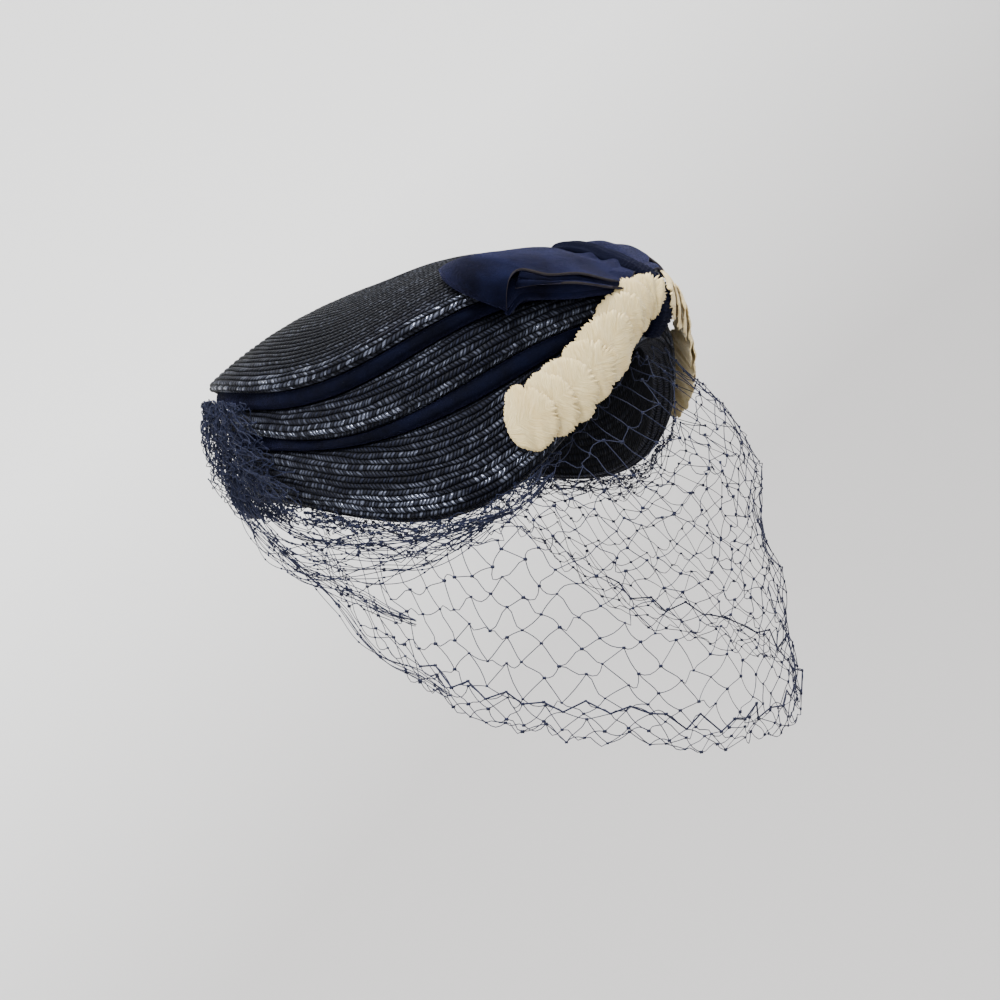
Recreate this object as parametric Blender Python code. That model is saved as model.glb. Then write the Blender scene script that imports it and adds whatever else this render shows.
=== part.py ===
"""A pillbox hat of straw braid with velvet bands, a velvet bow, feather pads and a net veil.

The hat is drawn level in its own frame, front towards -Y, and the frame is then tipped back, as the
hat is worn. The origin is the top of the hollow, where the hat sits on a head. The veil is drawn in
the tipped frame, because it hangs straight down. Angles run round the hat from its front.
"""
import math

import bmesh
import bpy
import numpy as np
from mathutils import Matrix, Vector

# Driving sizes of the straw crown, in metres
HALF_LENGTH = 0.100
HALF_WIDTH = 0.082
TIER_SPAN = 0.060
DOME_RISE = 0.0260
DOME_POWER = 2.4
DOME_REACHES = (0.90, 0.74, 0.52, 0.27)
STRAW_WALL = 0.0016
EDGE_ROLL = 0.0030
RIM_ROLL = 0.0055
GROOVE_DEPTH = 0.0050
LEDGE_RISE = 0.0009
EAVE_RISE = 0.0006
TIER_BULGE = 0.0012
BELLY_HEIGHT = 0.0120
FRONT_RAISE = math.radians(19)

# Fits and fineness
CLEARANCE = 0.0004
SEGMENTS = 60
STATIONS = (0, 45, 90, 135, 180)

# Lines of the crown: share of the plan's half sizes, then heights as shares of TIER_SPAN
LINE_COLUMNS = ("name", "plan", "front", "temple", "side", "quarter", "back")
LINE_ROWS = (
    ("rim", 0.940, 0.09, -0.43, -0.54, -0.16, -0.15),
    ("lower_top", 0.945, 0.25, 0.08, -0.05, 0.19, 0.23),
    ("middle_edge", 0.975, 0.30, 0.24, 0.05, 0.34, 0.38),
    ("middle_top", 0.945, 0.395, 0.49, 0.30, 0.47, 0.53),
    ("top_edge", 0.985, 0.46, 0.61, 0.44, 0.63, 0.68),
)

# Velvet bands
VELVET_STAND = 0.0046
VELVET_SHAPE = ((0.00, 0.04), (0.72, 0.07), (1.00, 0.34), (0.96, 0.66), (0.66, 0.94), (0.00, 0.96))

# Bow: each loop's far corners and the middle of its front edge, as shares of BOW_REACH from the knot
BOW_REACH = 0.065
RIBBON_WALL = 0.0014
LOOP_FULLNESS = 0.0090
LOOP_SPACING = 0.0025
LOOP_STEPS = 13
LOOP_STRIPS = 7
LOOP_TIP_POWER = 0.85
LOOP_ROOT_WIDTH = 0.0170
LOOP_ROOT_LIFT = 0.0040
ENVELOPE_SLOPE = 4.0
LOOP_COLUMNS = ("name", "side", "corner", "along", "back", "up")
LOOP_ROWS = (
    ("bow_right_loop", -1, "rear", 0.78, 0.74, 0.10),
    ("bow_right_loop", -1, "front", 1.03, 0.26, -0.21),
    ("bow_right_loop", -1, "middle", 0.62, -0.11, -0.19),
    ("bow_left_loop", 1, "rear", 0.77, 0.40, 0.10),
    ("bow_left_loop", 1, "front", 0.97, 0.14, -0.13),
    ("bow_left_loop", 1, "middle", 0.55, -0.08, -0.08),
)

# The knot's strap over the bow and down the front: where it lies and its thickness
KNOT_WIDTH = 0.0150
KNOT_THICKNESS = 0.0058
LOOP_ROOT_EDGE = KNOT_WIDTH / 2 + 1.5 * CLEARANCE
KNOT_REACH = 0.86
KNOT_SECTION = ((-1.0, 0.0), (-1.0, 0.55), (-0.65, 1.0), (0.65, 1.0), (1.0, 0.55), (1.0, 0.0))
KNOT_COLUMNS = ("line", "roll", "reach", "thickness")
KNOT_ROWS = (
    ("rim", 45, None, 0.55),
    ("rim", 90, None, 0.95),
    ("middle_edge", 90, None, 1.00),
    ("top_edge", 90, None, 0.80),
    (None, None, 0.95, 0.85),
    (None, None, 0.88, 1.00),
    (None, None, 0.80, 0.95),
    (None, None, 0.74, 0.80),
    (None, None, 0.68, 0.45),
)

# Feather pads: each petal's swell along itself, the pad's section as shares of half its width and of
# its thickness, then angle from the front, height as a share of TIER_SPAN and width as a share
PAD_WIDTH = 0.0240
PAD_THICKNESS = 0.0065
PETALS = 8
PETAL_SWELL = ((0.0, 0.82), (0.45, 0.96), (0.96, 1.06))
PETAL_REACH = 0.02
PAD_SECTION = ((-1.0, 0.15), (-0.72, 0.72), (0.0, 1.0), (0.72, 0.72), (1.0, 0.15), (0.0, 0.0))
PAD_COLUMNS = ("angle", "height", "width")
PAD_ROWS = (
    (8.5, 0.40, 0.60),
    (12.0, 0.37, 0.80),
    (19.5, 0.24, 0.90),
    (30.0, 0.03, 1.00),
    (38.0, -0.08, 1.05),
    (45.5, -0.16, 1.10),
    (52.5, -0.21, 0.85),
)

# Veil: shares of the drop and flare, in even steps of angle from the front to the veil's end
VEIL_WALL = 0.0010
VEIL_DROP = 0.150
VEIL_FLARE = 0.054
VEIL_TOP_OUT = -0.0027
VEIL_TOP_UP = 0.0003
NET_BAR_SHARE = 0.15
VEIL_COLUMNS = 40
VEIL_ROWS = 7
VEIL_END = 114
VEIL_TABLE_COLUMNS = ("drop", "flare")
VEIL_TABLE_ROWS = (
    (1.00, 1.00),
    (0.92, 0.98),
    (0.73, 0.86),
    (0.57, 0.57),
    (0.43, 0.27),
    (0.25, 0.14),
    (0.11, 0.06),
)
VEIL_PROFILE = ((0.0, 0.0), (0.13, 0.45), (0.28, 0.68), (0.45, 0.73), (0.71, 0.90), (0.87, 0.98), (1.0, 1.0))

# The gathered ends of the net at the back of the hat
GATHER_STAND = 0.0100
GATHER_FOLD = 0.40
GATHER_FOLDS = 9
GATHER_START = 118
GATHER_STEP = 4
GATHER_END = 0.35
GATHER_BELOW_RIM = 0.006
GATHER_COLUMNS = ("height", "stand")
GATHER_ROWS = ((0.00, 0.30), (0.22, 0.95), (0.50, 1.00), (0.78, 0.75), (1.00, 0.25))

# Colours, linear
NAVY_STRAW = (0.012, 0.014, 0.026, 1.0)
NAVY_VELVET = (0.010, 0.016, 0.060, 1.0)
CREAM = (0.800, 0.700, 0.500, 1.0)
NAVY_NET = (0.010, 0.014, 0.055, 1.0)


def clear_scene():
    for thing in list(bpy.data.objects):
        bpy.data.objects.remove(thing, do_unlink=True)


def make_material(name, colour, roughness):
    material = bpy.data.materials.new(name)
    material.use_nodes = True
    shader = material.node_tree.nodes["Principled BSDF"]
    shader.inputs["Base Color"].default_value = colour
    shader.inputs["Roughness"].default_value = roughness
    shader.inputs["Metallic"].default_value = 0.0
    return material


def cosine_series(heights):
    """Coefficients of the smooth symmetric wave through one height at each station."""
    waves = np.cos(np.outer(np.radians(STATIONS), np.arange(len(STATIONS))))
    return np.linalg.solve(waves, np.array(heights))


def read_lines():
    """The crown's lines by name: plan share and height wave, in metres."""
    lines = {}
    for row in LINE_ROWS:
        columns = dict(zip(LINE_COLUMNS, row))
        heights = [columns[name] * TIER_SPAN for name in LINE_COLUMNS[2:]]
        lines[columns["name"]] = (columns["plan"], cosine_series(heights))
    return lines


LINES = read_lines()


def line_height(name, angle):
    series = LINES[name][1]
    return float(sum(term * math.cos(k * angle) for k, term in enumerate(series)))


def line_point(name, angle, out=0.0, up=0.0):
    """A point of a named line, moved outwards and up."""
    share = LINES[name][0]
    return Vector((
        (HALF_WIDTH * share + out) * math.sin(angle),
        -(HALF_LENGTH * share + out) * math.cos(angle),
        line_height(name, angle) + up,
    ))


def dome_height(reach, angle):
    """Height of the dome's outside, where reach runs from 0 at its middle to 1 at its edge."""
    mean = LINES["top_edge"][1][0] + EDGE_ROLL
    edge = line_height("top_edge", angle) + EDGE_ROLL
    return mean + (edge - mean) * reach ** 2 + DOME_RISE * (1.0 - reach ** DOME_POWER)


def ring_angles():
    return [2.0 * math.pi * k / SEGMENTS for k in range(SEGMENTS)]


def mesh_object(name, vertices, faces, material, parent=None):
    """A named object from vertices and faces, with its faces turned to point out."""
    mesh = bpy.data.meshes.new(name)
    shape = bmesh.new()
    made = [shape.verts.new(vertex) for vertex in vertices]
    for face in faces:
        shape.faces.new([made[index] for index in face])
    bmesh.ops.recalc_face_normals(shape, faces=shape.faces)
    shape.to_mesh(mesh)
    shape.free()
    mesh.materials.append(material)
    thing = bpy.data.objects.new(name, mesh)
    bpy.context.scene.collection.objects.link(thing)
    thing.parent = parent
    mesh.shade_smooth()
    mesh.set_sharp_from_angle(angle=math.radians(50))
    return thing


def ring_faces(rows, count, closed_rows=False):
    """Quads between rings of count points each."""
    faces = []
    last = rows if closed_rows else rows - 1
    for row in range(last):
        for k in range(count):
            following = (k + 1) % count
            above = (row + 1) % rows
            faces.append((
                row * count + k,
                row * count + following,
                above * count + following,
                above * count + k,
            ))
    return faces


def grid_faces(rows, columns):
    """Quads of an open grid of rows by columns points."""
    faces = []
    for row in range(rows - 1):
        for column in range(columns - 1):
            corner = row * columns + column
            faces.append((corner, corner + 1, corner + columns + 1, corner + columns))
    return faces


def solidify(thing, thickness, offset):
    """A wall of even thickness from a sheet."""
    modifier = thing.modifiers.new("wall", "SOLIDIFY")
    modifier.thickness = thickness
    modifier.offset = offset
    modifier.use_even_offset = True
    return modifier


def rolled_edge(name, roll, steps=3):
    """A tier's lower edge, from its underside round to its widest line."""
    sections = []
    for step in range(steps):
        turn = math.radians(90) * step / (steps - 1)
        sections.append((name, roll * (math.sin(turn) - 1.0), roll * (1.0 - math.cos(turn))))
    return sections


def crown_sections():
    """The crown's outside from the rim to the top edge, as lists of one point per angle."""
    steps = rolled_edge("rim", RIM_ROLL)
    steps += [("lower_top", 0.0, 0.0), ("lower_top", -GROOVE_DEPTH, LEDGE_RISE)]
    steps += [("middle_edge", -GROOVE_DEPTH, EAVE_RISE)] + rolled_edge("middle_edge", EDGE_ROLL)
    steps += [("middle_top", 0.0, 0.0), ("middle_top", -GROOVE_DEPTH, LEDGE_RISE)]
    steps += [("top_edge", -GROOVE_DEPTH, EAVE_RISE)] + rolled_edge("top_edge", EDGE_ROLL)
    sections = [[line_point(name, angle, out, up) for angle in ring_angles()] for name, out, up in steps]
    sections.insert(3, tier_belly(sections[2], sections[3]))
    sections.insert(10, tier_belly(sections[9], sections[10]))
    return sections


def tier_belly(lower, upper):
    """The fullest ring of a tier, midway between two rings."""
    belly = []
    for low, high, angle in zip(lower, upper, ring_angles()):
        outwards = Vector((math.sin(angle), -math.cos(angle), 0.0))
        fullness = min(1.0, (high.z - low.z) / BELLY_HEIGHT)
        belly.append((low + high) / 2 + outwards * TIER_BULGE * fullness)
    return belly


def make_crown(material, parent):
    """The straw shell: three tiers and two grooves below a low dome."""
    sections = crown_sections()
    share = LINES["top_edge"][0]
    for reach in DOME_REACHES:
        sections.append([Vector((
            HALF_WIDTH * share * reach * math.sin(angle),
            -HALF_LENGTH * share * reach * math.cos(angle),
            dome_height(reach, angle),
        )) for angle in ring_angles()])
    vertices = [point for section in sections for point in section]
    faces = ring_faces(len(sections), SEGMENTS)
    summit = len(vertices)
    vertices.append(Vector((0.0, 0.0, dome_height(0.0, 0.0))))
    last = summit - SEGMENTS
    faces += [(last + k, last + (k + 1) % SEGMENTS, summit) for k in range(SEGMENTS)]
    crown = mesh_object("straw_crown", vertices, faces, material, parent)
    solidify(crown, STRAW_WALL, -1.0)
    return crown


def make_velvet_band(name, lower, upper, material, parent):
    """A soft velvet roll that fills the groove between two of the crown's lines."""
    rings = []
    for stand, share in VELVET_SHAPE:
        ring = []
        for angle in ring_angles():
            low = line_point(lower, angle, -GROOVE_DEPTH, LEDGE_RISE + CLEARANCE)
            high = line_point(upper, angle, -GROOVE_DEPTH, -CLEARANCE)
            outwards = Vector((math.sin(angle), -math.cos(angle), 0.0))
            ring.append(low.lerp(high, share) + outwards * (CLEARANCE + stand * VELVET_STAND))
        rings.append(ring)
    vertices = [point for ring in rings for point in ring]
    faces = ring_faces(len(rings), SEGMENTS, closed_rows=True)
    return mesh_object(name, vertices, faces, material, parent)


def crown_envelope(x, y):
    """The lowest height at a plan place that clears the crown's top and its widest edge."""
    share = LINES["top_edge"][0]
    across = x / (HALF_WIDTH * share)
    ahead = -y / (HALF_LENGTH * share)
    reach = math.hypot(across, ahead)
    angle = math.atan2(across, ahead)
    if reach <= 1.0:
        return dome_height(reach, angle)
    beyond = max(0.0, (reach - 1.0) * HALF_WIDTH - 2.0 * RIBBON_WALL)
    return line_height("top_edge", angle) + EDGE_ROLL - ENVELOPE_SLOPE * beyond


def knot_centre():
    """The middle of the bow, on the dome just behind the crown's front edge."""
    share = LINES["top_edge"][0]
    return Vector((0.0, -HALF_LENGTH * share * KNOT_REACH, dome_height(KNOT_REACH, 0.0) + LOOP_ROOT_LIFT))


def loop_corners(name):
    """Root and tip corners of a bow loop, front ones first."""
    centre = knot_centre()
    tips = {}
    side = 1
    for row in LOOP_ROWS:
        columns = dict(zip(LOOP_COLUMNS, row))
        if columns["name"] == name:
            side = columns["side"]
            step = Vector((side * columns["along"], columns["back"], columns["up"]))
            tips[columns["corner"]] = centre + step * BOW_REACH
    roots = {}
    for corner, sign in (("front", -1), ("rear", 1)):
        root = centre + Vector((side * LOOP_ROOT_EDGE, sign * LOOP_ROOT_WIDTH / 2, 0.0))
        root.z = crown_envelope(root.x, root.y) + LOOP_ROOT_LIFT
        roots[corner] = root
    return roots, tips


def make_bow_loop(name, material, parent):
    """A ribbon that runs out from the knot, folds round and comes back under itself."""
    roots, tips = loop_corners(name)
    along = (tips["front"] + tips["rear"] - roots["front"] - roots["rear"]).normalized()
    across = (tips["rear"] - tips["front"]).normalized()
    normal = along.cross(across).normalized()
    normal *= math.copysign(1.0, normal.z)
    vertices = []
    for row in range(LOOP_STEPS):
        turn = math.pi * row / (LOOP_STEPS - 1)
        lift = math.cos(turn) * LOOP_SPACING + math.sin(2.0 * turn) * LOOP_FULLNESS / 2
        for column in range(LOOP_STRIPS):
            share = column / (LOOP_STRIPS - 1)
            out = math.sin(turn) ** LOOP_TIP_POWER
            front = roots["front"] * (1 - out) * (1 - 2 * out) + tips["front"] * out * (2 * out - 1)
            front += tips["middle"] * 4.0 * out * (1 - out)
            rear = roots["rear"].lerp(tips["rear"], out)
            middle = front.lerp(rear, share)
            under = middle - normal * abs(lift)
            short = crown_envelope(under.x, under.y) + 3.0 * CLEARANCE + RIBBON_WALL - under.z
            place = middle + normal * lift + Vector((0.0, 0.0, max(0.0, short)))
            place.x = math.copysign(max(abs(place.x), LOOP_ROOT_EDGE), place.x)
            vertices.append(place)
    loop = mesh_object(name, vertices, grid_faces(LOOP_STEPS, LOOP_STRIPS), material, parent)
    solidify(loop, RIBBON_WALL, 0.0).use_even_offset = False
    return loop


def knot_path():
    """Points down the crown's front in its middle plane, with the strap's thickness at each."""
    path = []
    share = LINES["top_edge"][0]
    for row in KNOT_ROWS:
        columns = dict(zip(KNOT_COLUMNS, row))
        if columns["line"]:
            turn = math.radians(columns["roll"])
            roll = RIM_ROLL if columns["line"] == "rim" else EDGE_ROLL
            out = roll * (math.sin(turn) - 1) + TIER_BULGE
            point = line_point(columns["line"], 0.0, out, roll * (1 - math.cos(turn)))
        else:
            reach = columns["reach"]
            point = Vector((0.0, -HALF_LENGTH * share * reach, dome_height(reach, 0.0)))
        path.append((point, columns["thickness"] * KNOT_THICKNESS))
    return path


def loft(name, sections, material, parent):
    """A closed solid through closed sections, capped at both ends."""
    count = len(sections[0])
    vertices = [point for section in sections for point in section]
    faces = ring_faces(len(sections), count)
    faces.append(tuple(range(count)))
    faces.append(tuple(range(len(vertices) - count, len(vertices))))
    return mesh_object(name, vertices, faces, material, parent)


def make_knot(material, parent):
    """The velvet strap over the middle of the bow and down over the front edge."""
    path = knot_path()
    sections = []
    for index, (point, thickness) in enumerate(path):
        before = path[max(index - 1, 0)][0]
        after = path[min(index + 1, len(path) - 1)][0]
        run = (after - before).normalized()
        outwards = Vector((0.0, -run.z, run.y))
        half = KNOT_WIDTH / 2
        inner = point + outwards * 2.0 * CLEARANCE
        section = []
        for across, deep in KNOT_SECTION:
            section.append(inner + Vector((across * half, 0.0, 0.0)) + outwards * deep * thickness)
        sections.append(section)
    return loft("bow_knot", sections, material, parent)


def read_table(rows, share):
    """A smooth row between the rows of a table, at a share of its length."""
    place = share * (len(rows) - 1)
    index = min(int(place), len(rows) - 2)
    part = place - index
    around = [np.array(rows[min(max(index + step, 0), len(rows) - 1)], dtype=float) for step in (-1, 0, 1, 2)]
    weights = (
        -0.5 * part + part ** 2 - 0.5 * part ** 3,
        1.0 - 2.5 * part ** 2 + 1.5 * part ** 3,
        0.5 * part + 2.0 * part ** 2 - 1.5 * part ** 3,
        -0.5 * part ** 2 + 0.5 * part ** 3,
    )
    return sum(weight * row for weight, row in zip(weights, around))


def plan_outwards(angle):
    """The level direction square to the plan's outline."""
    return Vector((math.sin(angle) / HALF_WIDTH, -math.cos(angle) / HALF_LENGTH, 0.0)).normalized()


def side_place(angle, height):
    """A place just outside the crown's middle edge, and the way out from it."""
    place = line_point("middle_edge", angle, CLEARANCE)
    place.z = height
    return place, plan_outwards(angle)


def pad_centre(share, side):
    columns = dict(zip(PAD_COLUMNS, read_table(PAD_ROWS, share)))
    place, outwards = side_place(side * math.radians(columns["angle"]), columns["height"] * TIER_SPAN)
    return place, outwards, columns["width"] * PAD_WIDTH


def make_feather_pad(name, side, material, parent):
    """A pad of overlapping feathers: each petal swells to its free edge and steps down to the next."""
    sections = []
    for petal in range(PETALS):
        for part, swell in PETAL_SWELL:
            share = (petal + part) / PETALS
            place, outwards, width = pad_centre(share, side)
            before = pad_centre(max(share - PETAL_REACH, 0.0), side)[0]
            after = pad_centre(min(share + PETAL_REACH, 1.0), side)[0]
            across = (after - before).cross(outwards).normalized()
            section = []
            for wide, deep in PAD_SECTION:
                step = across * wide * width / 2 + outwards * deep * PAD_THICKNESS
                section.append(place + step * swell)
            sections.append(section)
    return loft(name, sections, material, parent)


def veil_fall(angle):
    """How far the net falls and flares at an angle; the table is mirrored about the front."""
    mirrored = VEIL_TABLE_ROWS[:0:-1] + VEIL_TABLE_ROWS
    row = read_table(mirrored, 0.5 + 0.5 * abs(math.degrees(angle)) / VEIL_END)
    columns = dict(zip(VEIL_TABLE_COLUMNS, row))
    return columns["drop"] * VEIL_DROP, columns["flare"] * VEIL_FLARE


def veil_places(turn):
    """Lattice points of the net, in columns round the rim and rows down to the hem."""
    half = VEIL_COLUMNS // 2
    falls, outs = zip(*VEIL_PROFILE)
    places = {}
    for i in range(VEIL_COLUMNS + 1):
        angle = math.radians(VEIL_END) * (i - half) / half
        drop, flare = veil_fall(angle)
        top = turn @ line_point("rim", angle, VEIL_TOP_OUT, VEIL_TOP_UP)
        for j in range(VEIL_ROWS + 1):
            fall = j / VEIL_ROWS
            out = float(np.interp(fall, falls, outs)) * flare
            places[i, j] = top + plan_outwards(angle) * out - Vector((0.0, 0.0, fall * drop))
    return places


def make_veil(turn, material):
    """The net, from under the rim to its hem, cut through in diamonds."""
    places = veil_places(turn)
    index = {key: order for order, key in enumerate(places)}
    vertices = list(places.values())
    faces = []
    for (i, j), centre in places.items():
        if (i + j) % 2 == 0:
            continue
        around = [(i - 1, j), (i, j - 1), (i + 1, j), (i, j + 1)]
        if all(key in places for key in around):
            first = len(vertices)
            vertices += [places[key].lerp(centre, NET_BAR_SHARE) for key in around]
            for k in range(4):
                after = (k + 1) % 4
                faces.append((index[around[k]], index[around[after]], first + after, first + k))
        else:
            corners = [index.get(key, index[i, j]) for key in around]
            faces.append(tuple(dict.fromkeys(corners)))
    used = sorted({corner for face in faces for corner in face})
    fresh = {old: new for new, old in enumerate(used)}
    vertices = [vertices[old] for old in used]
    faces = [tuple(fresh[corner] for corner in face) for face in faces]
    veil = mesh_object("veil", vertices, faces, material)
    solidify(veil, VEIL_WALL, 0.0)
    return veil


def make_gather(material, parent):
    """The bunched ends of the net on the outside of the back."""
    sections = []
    steps = (360 - 2 * GATHER_START) // GATHER_STEP
    for k in range(steps + 1):
        angle = math.radians(GATHER_START + GATHER_STEP * k)
        taper = GATHER_END + (1.0 - GATHER_END) * math.sin(math.pi * k / steps)
        ripple = 1.0 - GATHER_FOLD * (0.5 + 0.5 * math.cos(GATHER_FOLDS * (angle - math.pi)))
        low = line_height("rim", angle) - GATHER_BELOW_RIM
        high = line_height("top_edge", angle) - EDGE_ROLL
        inner = []
        outer = []
        for row in GATHER_ROWS:
            columns = dict(zip(GATHER_COLUMNS, row))
            place, outwards = side_place(angle, low + (high - low) * columns["height"])
            inner.append(place)
            outer.append(place + outwards * (GATHER_STAND * columns["stand"] * taper * ripple))
        sections.append(inner + outer[::-1])
    return loft("veil_gather", sections, material, parent)


def main():
    clear_scene()
    straw = make_material("straw", NAVY_STRAW, 0.35)
    velvet = make_material("velvet", NAVY_VELVET, 0.85)
    feather = make_material("feather", CREAM, 0.70)
    net = make_material("net", NAVY_NET, 0.60)

    tilt = bpy.data.objects.new("worn_tilt", None)
    bpy.context.scene.collection.objects.link(tilt)
    seat = Vector((0.0, 0.0, dome_height(0.0, 0.0) - STRAW_WALL))
    turn = Matrix.Rotation(-FRONT_RAISE, 4, "X") @ Matrix.Translation(-seat)
    tilt.matrix_world = turn

    make_crown(straw, tilt)
    make_velvet_band("upper_velvet_band", "middle_top", "top_edge", velvet, tilt)
    make_velvet_band("lower_velvet_band", "lower_top", "middle_edge", velvet, tilt)
    make_bow_loop("bow_right_loop", velvet, tilt)
    make_bow_loop("bow_left_loop", velvet, tilt)
    make_knot(velvet, tilt)
    make_feather_pad("right_feather_pad", -1, feather, tilt)
    make_feather_pad("left_feather_pad", 1, feather, tilt)
    make_veil(turn, net)
    make_gather(net, tilt)


main()
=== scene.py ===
# %% [markdown]
# # A pillbox hat of straw braid, velvet, feathers and net
#
# The hat is a low shell of glossy navy straw braid in three tiers, with a velvet ribbon sunk between
# them. A velvet bow lies on the front of the top, a strap of the same ribbon holds it down over the
# front edge, a pad of clipped cream feathers runs back from the strap on each side, and a strip of
# navy net hangs down from the rim at the front and the sides. Its two ends are bunched at the back.
#
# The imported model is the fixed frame: it gives each piece's place and size, and every piece made here
# lies on it. All lengths are in metres.

# %% Load the frame
import math
import random

import bpy
import numpy as np
from mathutils import Matrix, Vector


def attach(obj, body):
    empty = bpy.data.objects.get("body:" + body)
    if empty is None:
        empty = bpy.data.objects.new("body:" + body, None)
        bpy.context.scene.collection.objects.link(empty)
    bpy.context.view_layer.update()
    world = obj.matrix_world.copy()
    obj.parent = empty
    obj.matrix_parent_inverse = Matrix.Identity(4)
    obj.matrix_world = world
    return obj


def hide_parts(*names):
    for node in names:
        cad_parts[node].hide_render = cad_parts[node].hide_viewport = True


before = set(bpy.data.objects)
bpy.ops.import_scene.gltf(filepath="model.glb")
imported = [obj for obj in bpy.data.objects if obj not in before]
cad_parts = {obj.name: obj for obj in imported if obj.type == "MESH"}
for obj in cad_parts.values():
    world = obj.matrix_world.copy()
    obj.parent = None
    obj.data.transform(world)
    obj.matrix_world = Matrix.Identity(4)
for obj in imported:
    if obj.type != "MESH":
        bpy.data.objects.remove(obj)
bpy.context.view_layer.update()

# %% [markdown]
# ## The camera
#
# The photograph looks at the hat's right side and a little at its front, from slightly above. A long
# lens from about 0.9 m gives the same gentle perspective. The camera keeps no shift: it is moved
# sideways instead, until the middle of the hat's plan falls on its pixel of the picture.

# %% The camera
PICTURE = 1000.0
FOCAL_PIXELS = 2205.0
SENSOR = 36.0
CAMERA_DISTANCE = 0.900
CAMERA_AZIMUTH = math.radians(-62)
CAMERA_ELEVATION = math.radians(8)
PLAN_CENTRE_PIXEL = (458.0, 422.0)

# The hat is drawn level and then tipped back, so that its front is raised
FRONT_RAISE = math.radians(19)
SEAT_HEIGHT = 0.061075
TURN = Matrix.Rotation(-FRONT_RAISE, 4, "X") @ Matrix.Translation((0.0, 0.0, -SEAT_HEIGHT))
PLAN_CENTRE = TURN @ Vector((0.0, 0.0, 0.0))


def view_axes(azimuth, elevation):
    """The camera's back, right and up directions."""
    back = Vector((
        math.sin(azimuth) * math.cos(elevation),
        -math.cos(azimuth) * math.cos(elevation),
        math.sin(elevation),
    ))
    right = Vector((math.cos(azimuth), math.sin(azimuth), 0.0))
    return back, right, back.cross(right)


back, right, up = view_axes(CAMERA_AZIMUTH, CAMERA_ELEVATION)
metres_per_pixel = CAMERA_DISTANCE / FOCAL_PIXELS
aside = (PLAN_CENTRE_PIXEL[0] - PICTURE / 2) * metres_per_pixel
above = (PICTURE / 2 - PLAN_CENTRE_PIXEL[1]) * metres_per_pixel
camera_data = bpy.data.cameras.new("camera")
camera_data.sensor_width = SENSOR
camera_data.lens = FOCAL_PIXELS / PICTURE * SENSOR
camera_data.clip_start = 0.01
camera = bpy.data.objects.new("camera", camera_data)
camera.location = PLAN_CENTRE + back * CAMERA_DISTANCE - right * aside - up * above
camera.rotation_euler = (-back).to_track_quat("-Z", "Y").to_euler()
bpy.context.scene.collection.objects.link(camera)
bpy.context.scene.camera = camera
print("camera at", [round(v, 3) for v in camera.location])

# %% [markdown]
# ## The hat's own lines
#
# A maker shapes this hat over a block, so its whole form follows from an oval plan and a few lines that
# run round it: the rim, the lower edge and the top of each tier. Each line keeps a share of the plan's
# size, and its height is a smooth wave round the hat through five measured places. The same small table
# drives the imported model, so what is made here lies on it.

# %% The lines that run round the hat
HALF_LENGTH = 0.100
HALF_WIDTH = 0.082
TIER_SPAN = 0.060
DOME_RISE = 0.0260
DOME_POWER = 2.4
EDGE_ROLL = 0.0030
RIM_ROLL = 0.0055
GROOVE_DEPTH = 0.0050
GROOVE_FLOOR = 0.0009
# degrees from the front to the back
STATIONS = (0, 45, 90, 135, 180)

# heights are shares of the tiers' span
LINE_COLUMNS = ("name", "plan", "front", "temple", "side", "quarter", "back")
LINE_ROWS = (
    ("rim", 0.940, 0.09, -0.43, -0.54, -0.16, -0.15),
    ("lower_top", 0.945, 0.25, 0.08, -0.05, 0.19, 0.23),
    ("middle_edge", 0.975, 0.30, 0.24, 0.05, 0.34, 0.38),
    ("middle_top", 0.945, 0.395, 0.49, 0.30, 0.47, 0.53),
    ("top_edge", 0.985, 0.46, 0.61, 0.44, 0.63, 0.68),
)


def read_lines():
    """Each line's plan share and the terms of its height wave, in metres."""
    waves = np.cos(np.outer(np.radians(STATIONS), np.arange(len(STATIONS))))
    lines = {}
    for row in LINE_ROWS:
        columns = dict(zip(LINE_COLUMNS, row))
        heights = np.array([columns[place] for place in LINE_COLUMNS[2:]]) * TIER_SPAN
        lines[columns["name"]] = (columns["plan"], np.linalg.solve(waves, heights))
    return lines


LINES = read_lines()


def line_height(name, angle):
    """Height of a line at an angle, or at an array of angles."""
    return sum(term * np.cos(k * np.asarray(angle)) for k, term in enumerate(LINES[name][1]))


def line_points(name, angle, out=0.0, raised=0.0):
    """Points of a line, moved outwards and up, with one row for each angle."""
    share = LINES[name][0]
    angle = np.asarray(angle, float)
    return np.stack([
        (HALF_WIDTH * share + out) * np.sin(angle),
        -(HALF_LENGTH * share + out) * np.cos(angle),
        line_height(name, angle) + raised,
    ], axis=-1)


# %% The low dome, and the hat tipped back
def dome_points(reach, angle, raised=0.0):
    """Points of the low dome, where reach runs from 0 at its middle to 1 at its edge."""
    share = LINES["top_edge"][0]
    mean = LINES["top_edge"][1][0] + EDGE_ROLL
    edge = line_height("top_edge", angle) + EDGE_ROLL
    height = mean + (edge - mean) * reach ** 2 + DOME_RISE * (1.0 - reach ** DOME_POWER)
    return np.stack([
        HALF_WIDTH * share * reach * np.sin(angle),
        -HALF_LENGTH * share * reach * np.cos(angle),
        height + raised,
    ], axis=-1)


def worn(points):
    """Points of the level hat, tipped back as it is worn."""
    points = np.asarray(points, float)
    matrix = np.array(TURN)
    return points @ matrix[:3, :3].T + matrix[:3, 3]


print("height of the top edge, front and back:", line_height("top_edge", np.array([0.0, math.pi])).round(4))

# %% [markdown]
# ## From points to pieces
#
# Every piece below is a grid of points, worked out with numpy and turned into one mesh in a single
# call, which is much faster than adding faces one by one. A grid carries its own texture coordinates
# where a finish has to follow the piece, such as rows of straw or the run of a feather.

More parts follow.
